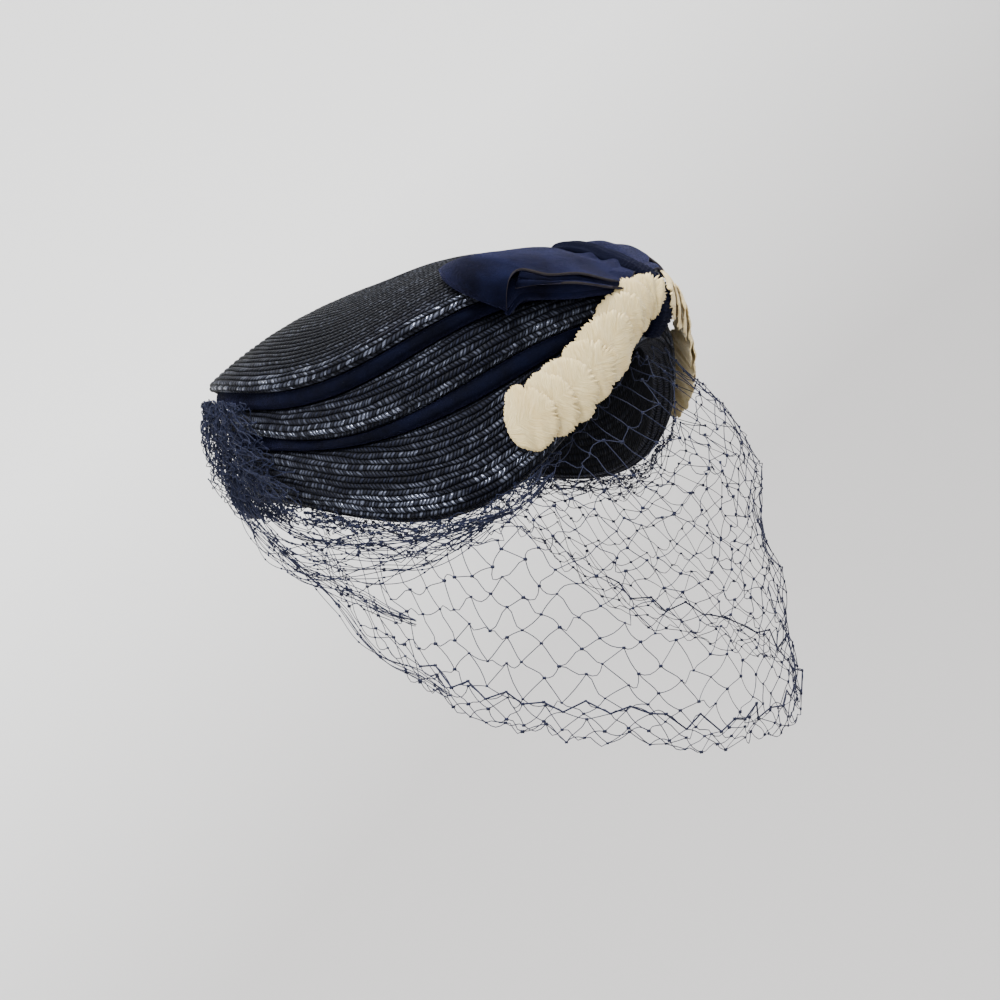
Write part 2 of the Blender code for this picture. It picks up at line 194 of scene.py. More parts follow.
# %% Grids of points, and pieces made from them
def grid_faces(rows, columns, closed=False):
    """Quads of a grid, as four corner numbers each; closed joins the last column to the first."""
    spans = columns if closed else columns - 1
    row, column = np.meshgrid(np.arange(rows - 1), np.arange(spans), indexing="ij")
    following = (column + 1) % columns
    corners = [row * columns + column, row * columns + following,
               (row + 1) * columns + following, (row + 1) * columns + column]
    return np.stack(corners, axis=-1).reshape(-1, 4)


def make_piece(name, points, faces, material, coordinates=None):
    """A named smooth object that rides on the hat, from points in the worn frame and faces."""
    corners = faces if isinstance(faces, list) else faces.tolist()
    mesh = bpy.data.meshes.new(name)
    mesh.from_pydata(points.tolist(), [], corners)
    if coordinates is not None:
        layer = mesh.uv_layers.new(name="UVMap")
        layer.data.foreach_set("uv", np.asarray(coordinates, np.float32).ravel())
    mesh.materials.append(material)
    mesh.shade_smooth()
    piece = bpy.data.objects.new(name, mesh)
    bpy.context.scene.collection.objects.link(piece)
    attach(piece, "root")
    return piece


def count_triangles(piece):
    """How many triangles a piece's faces make."""
    return sum(len(face.vertices) - 2 for face in piece.data.polygons)


# %% Smooth curves, uneven waves and directions
def ripple(values, seed, waves=6, lowest=1.0, highest=9.0):
    """A smooth repeatable wobble between about -1 and 1, as a sum of sines."""
    chance = random.Random(seed)
    values = np.asarray(values, float)
    total = np.zeros_like(values)
    for _ in range(waves):
        total += np.sin(values * chance.uniform(lowest, highest) + chance.uniform(0.0, math.tau))
    return total / math.sqrt(waves)


def smooth_rows(rows, places):
    """Values of a table between its rows, by a curve that passes through every row."""
    rows = np.array(rows, float)
    places = np.asarray(places, float)
    index = np.clip(places.astype(int), 0, len(rows) - 2)
    part = (places - index).reshape(places.shape + (1,) * (rows.ndim - 1))
    before, first = rows[np.maximum(index - 1, 0)], rows[index]
    second, after = rows[index + 1], rows[np.minimum(index + 2, len(rows) - 1)]
    return 0.5 * (
        2.0 * first
        + (second - before) * part
        + (2.0 * before - 5.0 * first + 4.0 * second - after) * part ** 2
        + (3.0 * first - before - 3.0 * second + after) * part ** 3
    )


def unit(vectors):
    """The same directions, each with a length of 1."""
    return vectors / np.maximum(np.linalg.norm(vectors, axis=-1, keepdims=True), 1e-9)


def plan_outwards(angle):
    """The level direction square to the oval plan."""
    aside, ahead = np.sin(angle) / HALF_WIDTH, -np.cos(angle) / HALF_LENGTH
    return unit(np.stack([aside, ahead, np.zeros_like(angle)], axis=-1))


def along_line(points):
    """The way along a polyline from its start to each of its points."""
    return np.concatenate([[0.0], np.cumsum(np.linalg.norm(np.diff(points, axis=0), axis=1))])


# %% [markdown]
# ## Navy straw
#
# The crown is sewn from a narrow plaited braid of dyed straw, row above row. Each row is a small ridge
# about 2.4 mm wide with slanting plaits between one and two millimetres long, and every plait is a tiny
# glossy facet that catches the light by itself. That could be modelled plait by plait, at millions of
# faces. Here the rows are real ridges in the mesh, and the plaits are a shader node group that reads the
# texture coordinates: across counts plaits and up counts rows, so the pattern follows every tier and the
# dome. The lacquer is a share of dark metal in each plait, because a mirror that differs from one plait
# to the next gives the small separate glints of the real braid, where one even coat would not.

# %% A shader node group with named sockets
def new_group(name, inputs, outputs):
    """A shader node group with named float and vector sockets; returns its tree and both ends."""
    kinds = {"float": "NodeSocketFloat", "vector": "NodeSocketVector"}
    tree = bpy.data.node_groups.new(name, "ShaderNodeTree")
    for title, kind, value in inputs:
        socket = tree.interface.new_socket(name=title, in_out="INPUT", socket_type=kinds[kind])
        if value is not None:
            socket.default_value = value
    for title, kind in outputs:
        tree.interface.new_socket(name=title, in_out="OUTPUT", socket_type=kinds[kind])
    return tree, tree.nodes.new("NodeGroupInput"), tree.nodes.new("NodeGroupOutput")


# %% Short ways to place and link nodes
class Wiring:
    """Adds nodes to one tree; an input may be a socket, a number or a colour."""

    def __init__(self, tree):
        self.tree = tree

    def set(self, socket, value):
        """Links a socket to another, or gives it a value."""
        if isinstance(value, bpy.types.NodeSocket):
            self.tree.links.new(value, socket)
        else:
            socket.default_value = value

    def math(self, operation, first, second=0.0, third=None, clamp=False):
        """A sum, product or other operation of up to three values."""
        node = self.tree.nodes.new("ShaderNodeMath")
        node.operation = operation
        node.use_clamp = clamp
        self.set(node.inputs[0], first)
        self.set(node.inputs[1], second)
        if third is not None:
            self.set(node.inputs[2], third)
        return node.outputs[0]

    def join(self, x, y, z=0.0):
        """A vector from its three parts."""
        node = self.tree.nodes.new("ShaderNodeCombineXYZ")
        for socket, value in zip(node.inputs, (x, y, z)):
            self.set(socket, value)
        return node.outputs[0]

    def split(self, vector):
        """The three parts of a vector."""
        node = self.tree.nodes.new("ShaderNodeSeparateXYZ")
        self.set(node.inputs[0], vector)
        return node.outputs

    def noise(self, vector, scale, detail=2.0, roughness=0.5):
        """Smooth noise at a place."""
        node = self.tree.nodes.new("ShaderNodeTexNoise")
        self.set(node.inputs["Vector"], vector)
        node.inputs["Scale"].default_value = scale
        node.inputs["Detail"].default_value = detail
        node.inputs["Roughness"].default_value = roughness
        return node.outputs["Fac"]

    def chance(self, vector):
        """One value from 0 to 1 for each whole place, unlike its neighbours'."""
        node = self.tree.nodes.new("ShaderNodeTexWhiteNoise")
        node.noise_dimensions = "2D"
        self.set(node.inputs["Vector"], vector)
        return node.outputs["Value"]

    def remap(self, value, low, high, to_low=0.0, to_high=1.0):
        """A value moved from one range to another, and held inside it."""
        node = self.tree.nodes.new("ShaderNodeMapRange")
        self.set(node.inputs["Value"], value)
        for title, number in (("From Min", low), ("From Max", high), ("To Min", to_low), ("To Max", to_high)):
            self.set(node.inputs[title], number)
        return node.outputs["Result"]

    def mix(self, share, first, second):
        """A colour between two others."""
        node = self.tree.nodes.new("ShaderNodeMix")
        node.data_type = "RGBA"
        self.set(node.inputs[0], share)
        self.set(node.inputs[6], first)
        self.set(node.inputs[7], second)
        return node.outputs[2]

    def bump(self, height, distance, strength=1.0):
        """A normal that is bent by a height; distance is the height's full size in metres."""
        node = self.tree.nodes.new("ShaderNodeBump")
        node.inputs["Strength"].default_value = strength
        node.inputs["Distance"].default_value = distance
        self.set(node.inputs["Height"], height)
        return node.outputs["Normal"]

    def place(self, tree, **values):
        """A node group, with a value or a link for each input that is named."""
        node = self.tree.nodes.new("ShaderNodeGroup")
        node.node_tree = tree
        for title, value in values.items():
            self.set(node.inputs[title], value)
        return node

    def coordinates(self, name):
        """The piece's own texture coordinates, as UV, Object or Generated."""
        return self.tree.nodes.new("ShaderNodeTexCoord").outputs[name]


# %% A material, ready to be wired
def new_material(name):
    """A node material, its wiring and its Principled shader."""
    material = bpy.data.materials.new(name)
    material.use_nodes = True
    return material, Wiring(material.node_tree), material.node_tree.nodes["Principled BSDF"]


# %% The plaits of the straw braid, as a node group
def make_braid_group():
    """Reads coordinates in plaits and rows; gives a height, a tone for each plait and where it is glossy."""
    tree, start, end = new_group(
        "straw braid",
        [("Coordinates", "vector", None), ("Slant", "float", 0.9)],
        [("Height", "float"), ("Tone", "float"), ("Gloss", "float")],
    )
    wires = Wiring(tree)
    across, rows, _ = wires.split(start.outputs["Coordinates"])
    row = wires.math("FLOOR", rows)
    part = wires.math("FRACT", rows)
    # neighbouring rows are sewn with the plait the other way round
    turn = wires.math("SUBTRACT", wires.math("MULTIPLY", wires.math("PINGPONG", row, 1.0), 2.0), 1.0)
    lean = wires.math("MULTIPLY", wires.math("MULTIPLY", start.outputs["Slant"], turn), part)
    shifted = wires.math("ADD", across, lean)
    wobble = wires.noise(wires.join(across, rows), 0.35, 2.0)
    shifted = wires.math("MULTIPLY_ADD", wobble, 1.6, shifted)
    plait = wires.math("FLOOR", shifted)
    along = wires.math("FRACT", shifted)
    round_plait = wires.math("SINE", wires.math("MULTIPLY", along, math.pi))
    round_row = wires.math("SINE", wires.math("MULTIPLY", part, math.pi))
    body = wires.math("MULTIPLY", wires.math("POWER", round_plait, 0.6), wires.math("POWER", round_row, 0.5))
    chance = wires.chance(wires.join(plait, row))
    lift = wires.math("MULTIPLY_ADD", chance, 0.5, 0.75)
    wires.set(end.inputs["Height"], wires.math("MULTIPLY", body, lift))
    # every second plait passes under, and shows as a dark bead in the row
    under = wires.math("PINGPONG", wires.math("ADD", plait, wires.math("MULTIPLY", row, 0.5)), 1.0)
    shade = wires.remap(under, 0.0, 1.0, 0.45, 1.0)
    tone = wires.math("MULTIPLY", wires.remap(chance, 0.0, 1.0, 0.5, 1.0), wires.math("POWER", body, 1.6))
    wires.set(end.inputs["Tone"], wires.math("MULTIPLY", tone, shade))
    # shine comes and goes in patches a few centimetres long
    wide_place = wires.join(wires.math("MULTIPLY", across, 0.06), wires.math("MULTIPLY", rows, 0.35))
    patch = wires.remap(wires.noise(wide_place, 1.0, 2.0), 0.40, 0.62)
    lucky = wires.remap(chance, 0.35, 0.95, 0.05, 1.0)
    gloss = wires.math("MULTIPLY", wires.math("MULTIPLY", lucky, patch), wires.math("POWER", body, 2.0))
    wires.set(end.inputs["Gloss"], gloss)
    return tree


braid_group = make_braid_group()
print("braid group:", [item.name for item in braid_group.interface.items_tree])

# %% The straw's two materials
# rows are numbered up from the rim, and each tier starts its own count
LOWER_FIRST_ROW = 0
MIDDLE_FIRST_ROW = 40
TOP_FIRST_ROW = 80
DOME_FIRST_ROW = TOP_FIRST_ROW + 2.5
FACING_ROWS = 4.0
# rows where extra lacquer paints a glint on each tier's rolled edge
PAINTED_GLINT_ROWS = (LOWER_FIRST_ROW + 5.0, MIDDLE_FIRST_ROW + 1.0, TOP_FIRST_ROW + 1.0)
WALL_SHINE = 0.22
FACING_SHINE = 0.04
DOME_SHINE = 0.28
NAVY_STRAW = (0.011, 0.013, 0.026, 1.0)
FACING_STRAW = (0.010, 0.011, 0.018, 1.0)
# a greyer, less blue straw colour for the dome
GREYER_DOME_STRAW = (0.014, 0.0155, 0.021, 1.0)
LACQUER = (0.150, 0.165, 0.220, 1.0)


def make_straw(name, colour, slant, depth, shine):
    """Dyed straw; depth is the height of a plait in metres, and shine says how much lacquer it has."""
    material, wires, shader = new_material(name)
    braid = wires.place(braid_group, Coordinates=wires.coordinates("UV"), Slant=slant)
    _, rows, _ = wires.split(wires.coordinates("UV"))
    on_dome = wires.remap(rows, DOME_FIRST_ROW, DOME_FIRST_ROW + 6.0)
    full = wires.mix(on_dome, colour, GREYER_DOME_STRAW)
    dark = tuple(0.08 * part for part in colour[:3]) + (1.0,)
    colour = wires.mix(braid.outputs["Tone"], dark, full)
    # more lacquer on the rolled edge of each tier, a painted glint where it turns to the light; the facing
    # along the rim is matt, the dome greyer and less glossy
    share = WALL_SHINE
    for first in PAINTED_GLINT_ROWS:
        rising = wires.remap(rows, first - 1.5, first)
        falling = wires.remap(rows, first + 2.2, first + 4.5, 1.0, 0.0)
        share = wires.math("MULTIPLY_ADD", rising, falling, share)
    above_facing = wires.remap(rows, FACING_ROWS - 0.5, FACING_ROWS + 1.0, FACING_SHINE, 1.0)
    share = wires.math("MULTIPLY", share, above_facing)
    share = wires.math("MULTIPLY", share, wires.remap(on_dome, 0.0, 1.0, 1.0, DOME_SHINE))
    gloss = wires.math("MULTIPLY", share, braid.outputs["Gloss"])
    gloss = wires.math("MULTIPLY", gloss, shine, clamp=True)
    # the lacquer on a plait mirrors the light a little, as a dark metal would
    wires.set(shader.inputs["Base Color"], wires.mix(gloss, colour, LACQUER))
    wires.set(shader.inputs["Metallic"], gloss)
    wires.set(shader.inputs["Roughness"], wires.remap(gloss, 0.0, 0.8, 0.6, 0.20))
    wires.set(shader.inputs["Normal"], wires.bump(braid.outputs["Height"], depth))
    shader.inputs["Specular IOR Level"].default_value = 0.08
    return material


straw = make_straw("navy straw braid", NAVY_STRAW, 0.9, 0.0006, 2.4)
plain_straw = make_straw("plain straw facing", FACING_STRAW, 0.2, 0.00025, 0.1)
print("straw materials:", straw.name, "and", plain_straw.name)

# %% [markdown]
# ## The straw crown
#
# Seen in section, each tier leans outwards as it comes down and rolls under at its lower edge, so it
# throws the band below it into shadow. The rows of braid run level with that lower edge, and the upper
# ones disappear behind the velvet, as they do on the real hat. So the section is worked out at each angle
# first, its corners are softened, and the rows are measured along it from the lower edge. Faces that
# would lie behind the velvet collapse to nothing and are left out. On the dome the rows are rings that
# shrink towards the middle.

# %% Sections of the tiers and the dome
AROUND = 345
ROW_PITCH = 0.0024
ROW_RIDGE = 0.00055
ROW_STEPS = 5
ROW_WANDER = 0.00028
PLAIT_LENGTH = 0.00135
DOME_PLAIT_LENGTH = 0.0019
EDGE_SOFTNESS = 0.0011
FINE_STEP = 0.0003
TIER_ROLL = 0.0040
TIER_BULGE = 0.0012
BULGING_HEIGHT = 0.012

angles = np.arange(AROUND) * math.tau / AROUND


def roll_points(name, roll, turns, angle):
    """Points round the rolled lower edge of a tier, from its underside outwards."""
    points = []
    for turn in np.radians(turns):
        points.append(line_points(name, angle, roll * (math.sin(turn) - 1.0), roll * (1.0 - math.cos(turn))))
    return points


def tier_section(edge, top, roll, angle):
    """A tier's outside from inside its lower edge to behind the band above it."""
    lower = line_points(edge, angle, 0.0, roll)
    upper = line_points(top, angle)
    outwards = np.array([math.sin(angle), -math.cos(angle), 0.0])
    fullness = TIER_BULGE * min(1.0, max(0.0, (upper[2] - lower[2]) / BULGING_HEIGHT))
    wall = []
    for share in (0.25, 0.5, 0.75, 1.0):
        wall.append(lower + (upper - lower) * share + outwards * fullness * math.sin(math.pi * share))
    behind = line_points(top, angle, -GROOVE_DEPTH, GROOVE_FLOOR)
    return roll_points(edge, roll, (-60, -20, 20, 55, 90), angle) + wall + [behind]


def soften(points, step=FINE_STEP, width=EDGE_SOFTNESS):
    """A polyline sampled finely and evenly, with its corners rounded off."""
    points = np.array(points)
    along = along_line(points)
    places = np.linspace(0.0, along[-1], max(8, int(along[-1] / step)))
    fine = np.stack([np.interp(places, along, points[:, k]) for k in range(3)], axis=1)
    reach = int(3 * width / step)
    weights = np.exp(-0.5 * (np.arange(-reach, reach + 1) * step / width) ** 2)
    weights /= weights.sum()
    padded = np.concatenate([2 * fine[:1] - fine[reach:0:-1], fine, 2 * fine[-1:] - fine[-2:-reach - 2:-1]])
    return np.stack([np.convolve(padded[:, k], weights, mode="valid") for k in range(3)], axis=1)


def row_profile(part):
    """How far a row of braid stands out across its width; it lies a little over the row below."""
    return ROW_RIDGE * (np.sin(np.pi * part) ** 0.7 + 0.35 * (1.0 - part))


print("crown sections:", AROUND, "round the hat, with rows of", ROW_PITCH * 1000.0, "mm")

# %% One tier as rows of braid
def row_strips(count, steps):
    """For each line of points across count rows: the row it is in and its place across that row."""
    rows = np.repeat(np.arange(count), steps)
    parts = np.tile(np.linspace(0.0, 1.0, steps), count)
    return rows, parts


def sample(sections, places):
    """Points at the given places along each section, one column for each section."""
    grid = np.zeros((places.shape[0], len(sections), 3))
    for column, section in enumerate(sections):
        along = along_line(section)
        for axis in range(3):
            grid[:, column, axis] = np.interp(places[:, column], along, section[:, axis])
    return grid


def push_rows(grid, parts):
    """Moves the grid out along its normals by the rows' ridges."""
    around = np.roll(grid, -1, axis=1) - np.roll(grid, 1, axis=1)
    wide = np.concatenate([grid[:1], grid, grid[-1:]])
    upwards = wide[2:] - wide[:-2]
    normal = np.cross(around, upwards)
    smooth = normal.copy()
    for shift in range(1, 5):
        smooth[shift:] += normal[:-shift]
        smooth[:-shift] += normal[shift:]
    smooth /= np.maximum(np.linalg.norm(smooth, axis=2, keepdims=True), 1e-12)
    return grid + smooth * row_profile(parts)[:, None, None]


# %% Faces of the rows, and the drift of their seams
def braid_mesh(grid, rows, parts, counts, keep):
    """Faces and texture coordinates of a braided grid; counts are the plaits round each line of points."""
    faces = grid_faces(grid.shape[0], AROUND, closed=True)
    row_of, column_of = np.divmod(np.arange(len(faces)), AROUND)
    chosen = keep[row_of, column_of]
    faces, row_of, column_of = faces[chosen], row_of[chosen], column_of[chosen]
    # a row's corners stay just inside it, so that none of them counts as the next row's
    height = rows + 0.002 + 0.996 * parts
    across = counts[row_of] / AROUND
    left, right = column_of * across, (column_of + 1) * across
    low, high = height[row_of], height[row_of + 1]
    corners = [(left, low), (right, low), (right, high), (left, high)]
    coordinates = np.stack([np.stack(corner, axis=-1) for corner in corners], axis=1)
    return faces, coordinates.reshape(-1, 2)


def wander(rows, parts, seed):
    """Small uneven drift of the seams between rows, for every line of points and every section."""
    seams = []
    for seam in range(rows[-1] + 2):
        seams.append(ROW_WANDER * ripple(angles, seed + seam, waves=8, lowest=4.0, highest=34.0))
    seams = np.array(seams)
    return seams[rows] * (1.0 - parts)[:, None] + seams[rows + 1] * parts[:, None]


# %% A tier whose rows keep one width
def perimeter(ring):
    """The way round a closed ring of points."""
    return float(np.linalg.norm(np.roll(ring, -1, axis=0) - ring, axis=1).sum())


def tier_piece(sections, first_row):
    """Grid, faces and coordinates of a tier whose rows keep one pitch and stop at the band above."""
    lengths = np.array([along_line(section)[-1] for section in sections])
    count = int(math.ceil(lengths.max() / ROW_PITCH))
    rows, parts = row_strips(count, ROW_STEPS)
    wanted = (rows + parts)[:, None] * ROW_PITCH
    drift = wander(rows, parts, 700 + first_row) * np.clip(rows + parts, 0.0, 1.0)[:, None]
    places = np.clip(wanted + drift, 0.0, lengths[None, :])
    grid = push_rows(sample(sections, places), parts)
    below = wanted[:-1] < lengths[None, :]
    keep = below | np.roll(below, -1, axis=1)
    counts = np.full(len(rows), round(perimeter(grid[0]) / PLAIT_LENGTH))
    faces, coordinates = braid_mesh(grid, rows + first_row, parts, counts, keep)
    return grid.reshape(-1, 3), faces, coordinates


# %% The top tier and dome as rows that turn into rings
EDGE_ROWS = 3
DOME_RINGS = 37
DOME_STEPS = 4
EVEN_RINGS = 4.0
SETTLING_RINGS = 3.0
LEAST_PLAITS = 5


def dome_piece(sections, first_row):
    """The top tier and dome: a few rows of one pitch round the edge, then rings that shrink."""
    lengths = np.array([along_line(section)[-1] for section in sections])
    edge = EDGE_ROWS * ROW_PITCH
    rows, parts = row_strips(EDGE_ROWS + DOME_RINGS, DOME_STEPS)
    place = (rows + parts)[:, None]
    even = edge + (place - EDGE_ROWS) / DOME_RINGS * (lengths[None, :] - edge)
    places = np.where(place <= EDGE_ROWS, place * ROW_PITCH, even)
    # the seams run true along the very edge and in the last rings, where they would cross
    to_middle = EDGE_ROWS + DOME_RINGS - EVEN_RINGS - place
    uneven = np.clip(place, 0.0, 1.0) * np.clip(to_middle / SETTLING_RINGS, 0.0, 1.0)
    places = np.maximum(places + wander(rows, parts, 900) * uneven, 0.0)
    grid = push_rows(sample(sections, np.minimum(places, lengths[None, :])), parts)
    rings = np.array([perimeter(grid[DOME_STEPS * row]) for row in rows])
    counts = np.maximum(np.round(rings / DOME_PLAIT_LENGTH), LEAST_PLAITS)
    keep = np.ones((len(rows) - 1, AROUND), bool)
    faces, coordinates = braid_mesh(grid, rows + first_row, parts, counts, keep)
    return grid.reshape(-1, 3), faces, coordinates


# %% Assemble the crown's outside
DOME_REACHES = (0.985, 0.96, 0.92, 0.86, 0.78, 0.68, 0.56, 0.43, 0.29, 0.15, 0.0)


def join_meshes(parts):
    """Several (points, faces, coordinates) as one."""
    points, faces, coordinates, first = [], [], [], 0
    for own_points, own_faces, own_coordinates in parts:
        points.append(own_points)
        faces.append(own_faces + first)
        coordinates.append(own_coordinates)
        first += len(own_points)
    return np.concatenate(points), np.concatenate(faces), np.concatenate(coordinates)


def top_section(angle):
    """The top tier's rolled edge, then the dome to its middle."""
    dome = [dome_points(reach, angle) for reach in DOME_REACHES]
    return roll_points("top_edge", EDGE_ROLL, (-60, -20, 20, 55, 80), angle) + dome


lower_sections = [soften(tier_section("rim", "lower_top", RIM_ROLL, angle)) for angle in angles]
middle_sections = [soften(tier_section("middle_edge", "middle_top", TIER_ROLL, angle)) for angle in angles]
top_sections = [soften(top_section(angle)) for angle in angles]
lower_tier = tier_piece(lower_sections, LOWER_FIRST_ROW)
middle_tier = tier_piece(middle_sections, MIDDLE_FIRST_ROW)
dome = dome_piece(top_sections, TOP_FIRST_ROW)
crown_points, crown_faces, crown_coordinates = join_meshes([lower_tier, middle_tier, dome])
crown = make_piece("straw_braid_crown", worn(crown_points), crown_faces, straw, crown_coordinates)
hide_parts("straw_crown")
print("crown:", count_triangles(crown), "triangles")

# %% [markdown]
# ## The inside of the crown
#
# From below, and through the net, the hat shows its inside. It is the back of the same braid, duller
# and flatter, so one plain skin with coarser faces is enough, and the node group draws the rows.

# %% The crown's inner skin
INNER_AROUND = 120
INNER_ROWS = 50
INNER_WALL = 0.0016
INNER_SOFTNESS = 0.002


def inner_section(angle):
    """The inside of the shell from the turned-in rim to the middle of the dome."""
    deep = -GROOVE_DEPTH - INNER_WALL
    points = [line_points("rim", angle, -1.85 * RIM_ROLL, 0.5 * RIM_ROLL)]
    for name in ("lower_top", "middle_edge", "middle_top", "top_edge"):
        points.append(line_points(name, angle, deep))
    points += [dome_points(reach, angle, -INNER_WALL) for reach in DOME_REACHES[3:]]
    return points


inner_angles = np.arange(INNER_AROUND) * math.tau / INNER_AROUND
inner_sections = [soften(inner_section(angle), width=INNER_SOFTNESS) for angle in inner_angles]
inner_lengths = np.array([along_line(section)[-1] for section in inner_sections])
inner_places = np.linspace(0.0, 1.0, INNER_ROWS + 1)[:, None] * inner_lengths[None, :]
inner_grid = sample(inner_sections, inner_places)
inner_faces = grid_faces(INNER_ROWS + 1, INNER_AROUND, closed=True)[:, ::-1]
row_of, column_of = np.divmod(np.arange(len(inner_faces)), INNER_AROUND)
inner_counts = np.array([max(LEAST_PLAITS, round(perimeter(ring) / PLAIT_LENGTH)) for ring in inner_grid])
plaits = inner_counts[row_of] / INNER_AROUND
inner_corners = [(column_of * plaits, row_of + 0.99), ((column_of + 1) * plaits, row_of + 0.99),
                 ((column_of + 1) * plaits, row_of + 0.01), (column_of * plaits, row_of + 0.01)]
inner_coordinates = np.stack([np.stack(corner, axis=-1) for corner in inner_corners], axis=1).reshape(-1, 2)
inner_points = worn(inner_grid.reshape(-1, 3))
inside = make_piece("straw_crown_inside", inner_points, inner_faces, plain_straw, inner_coordinates)
print("inside:", count_triangles(inside), "triangles")

# %% [markdown]
# ## Velvet
#
# Velvet is short pile standing on a woven back. Seen face on it swallows the light and looks nearly
# black; along its edges, where the eye meets the pile side on, it shows a soft blue sheen. The
# Principled shader's sheen lobe does that. The pile is lifted by fine noise, and wide soft blotches
# show where it has been brushed flat. One function makes three velvets from the same pile: the bow's
# ribbon has the most sheen and a woven edge, the bands have less, and the tightly gathered strap least.
# The bands are also given a darker pile colour, which paints in the shade of the grooves they lie in.

# %% The pile of the velvet, as a node group
def make_pile_group():
    """Pile from the object's own place: height of the tufts, and broad brushed patches."""
    tree, start, end = new_group(
        "velvet pile",
        [("Place", "vector", None)],
        [("Height", "float"), ("Brushed", "float")],
    )
    wires = Wiring(tree)
    place = start.outputs["Place"]
    fine = wires.noise(place, 2600.0, 3.0, 0.7)
    clumps = wires.noise(place, 520.0, 2.0, 0.6)
    wires.set(end.inputs["Height"], wires.math("MULTIPLY_ADD", clumps, 0.8, fine))
    wires.set(end.inputs["Brushed"], wires.remap(wires.noise(place, 55.0, 3.0, 0.6), 0.35, 0.68))
    return tree


pile_group = make_pile_group()
print("pile group:", [item.name for item in pile_group.interface.items_tree])

# %% Three velvets from one pile
WOVEN_EDGE = (0.032, 0.028, 0.029, 1.0)
WOVEN_EDGE_PLACE = (0.486, 0.493)
BLUE_SHEEN = (0.24, 0.25, 0.62, 1.0)


def make_velvet(name, deep, brushed, sheen, selvage=None):
    """Dark pile with a sheen at grazing angles; selvage is the colour of a ribbon's woven edges."""
    material, wires, shader = new_material(name)
    pile = wires.place(pile_group, Place=wires.coordinates("Object"))
    colour = wires.mix(pile.outputs["Brushed"], deep, brushed)
    if selvage:
        _, across, _ = wires.split(wires.coordinates("UV"))
        from_middle = wires.math("ABSOLUTE", wires.math("SUBTRACT", across, 0.5))
        colour = wires.mix(wires.remap(from_middle, *WOVEN_EDGE_PLACE), colour, selvage)
    wires.set(shader.inputs["Base Color"], colour)
    wires.set(shader.inputs["Normal"], wires.bump(pile.outputs["Height"], 0.0005))
    shader.inputs["Roughness"].default_value = 0.9
    shader.inputs["Specular IOR Level"].default_value = 0.05
    shader.inputs["Sheen Weight"].default_value = sheen
    shader.inputs["Sheen Roughness"].default_value = 0.20
    shader.inputs["Sheen Tint"].default_value = BLUE_SHEEN
    return material


ribbon_velvet = make_velvet(
    "navy ribbon velvet", (0.0013, 0.0016, 0.006, 1.0), (0.0045, 0.006, 0.023, 1.0), 0.17, WOVEN_EDGE,
)
strap_velvet = make_velvet(
    "navy strap velvet", (0.001, 0.0015, 0.006, 1.0), (0.002, 0.0028, 0.010, 1.0), 0.06,
)
# the same navy velvet in a darker colour: painted shade for the grooves under the tiers
band_velvet_painted_shade = make_velvet(
    "navy band velvet with painted shade", (0.001, 0.0013, 0.004, 1.0), (0.002, 0.003, 0.012, 1.0), 0.13,
)
print("velvets:", [material.name for material in (ribbon_velvet, strap_velvet, band_velvet_painted_shade)])

# %% [markdown]
# ## The two velvet bands
#
# Each band is a folded velvet ribbon tucked into the groove between two tiers. It is full in the middle
# and disappears under the tier above, so it is a soft roll of uneven fullness, not a flat strip.

# %% Rolls of velvet in the grooves
BAND_AROUND = 300
BAND_STEPS = 18
BAND_STAND = 0.0052
BAND_SLACK = 0.00035
FIT = 0.0004


def make_band(name, lower, upper, seed):
    """A closed roll between two of the crown's lines."""
    angle = np.arange(BAND_AROUND) * math.tau / BAND_AROUND
    low = line_points(lower, angle, -GROOVE_DEPTH, GROOVE_FLOOR + FIT)
    high = line_points(upper, angle, -GROOVE_DEPTH, -FIT)
    outwards = np.stack([np.sin(angle), -np.cos(angle), np.zeros_like(angle)], axis=1)
    rings = []
    for step in range(BAND_STEPS):
        turn = math.tau * step / BAND_STEPS
        share = 0.5 - 0.48 * math.cos(turn)
        # fullest low down, so that the upper half stays in the shade of the tier above
        stand = BAND_STAND * max(0.0, math.sin(turn)) ** 0.55 * (1.18 - 0.62 * share)
        slack = BAND_SLACK * ripple(angle * 3.0, seed + step // 3) * (stand > 0.0)
        rings.append(low + (high - low) * share + outwards * (FIT + stand + slack)[:, None])
    points = np.concatenate(rings)
    # the last ring joins the first
    faces = grid_faces(BAND_STEPS + 1, BAND_AROUND, closed=True) % len(points)
    band = make_piece(name, worn(points), faces[:, ::-1], band_velvet_painted_shade)
    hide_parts(name.replace("soft_", ""))
    return band


lower_band = make_band("soft_lower_velvet_band", "lower_top", "middle_edge", 3)
upper_band = make_band("soft_upper_velvet_band", "middle_top", "top_edge", 11)
print("bands:", count_triangles(lower_band) + count_triangles(upper_band), "triangles")

# %% [markdown]
# ## The velvet bow
#
# The bow is one wide velvet ribbon folded into two flat loops. Each loop lies out over the dome from the
# middle, folds round at its far end and comes back under itself, and its open front edge droops over the
# edge of the top. The ribbon is woven with a firm selvage, which shows as a grey-brown line along each
# edge. A cloth simulation would drape it, but a bow like this is pulled into shape by hand and stitched
# down, so each loop is drawn as a small cage of points that a maker would pin, with a smooth sheet
# through them. Each row of a cage runs across the ribbon from its rear edge to its front edge.

# %% Sheets of ribbon from a few pinned points
RIBBON = 0.0010
CLEAR_OF_STRAW = 0.0011
LOOP_PLEAT = 0.0007
LAYER_PLEAT = 0.0006
PLEAT_REACH = 0.088
LOOP_GRID = (130, 56)
LAYER_GRID = (80, 20)


def smooth_cage(cage, rows, columns):
    """A fine grid of points through every point of a cage, which is given in millimetres."""
    cage = np.array(cage, float) / 1000.0
    along = smooth_rows(cage, np.linspace(0.0, len(cage) - 1, rows))
    across = smooth_rows(np.swapaxes(along, 0, 1), np.linspace(0.0, cage.shape[1] - 1, columns))
    return np.swapaxes(across, 0, 1)


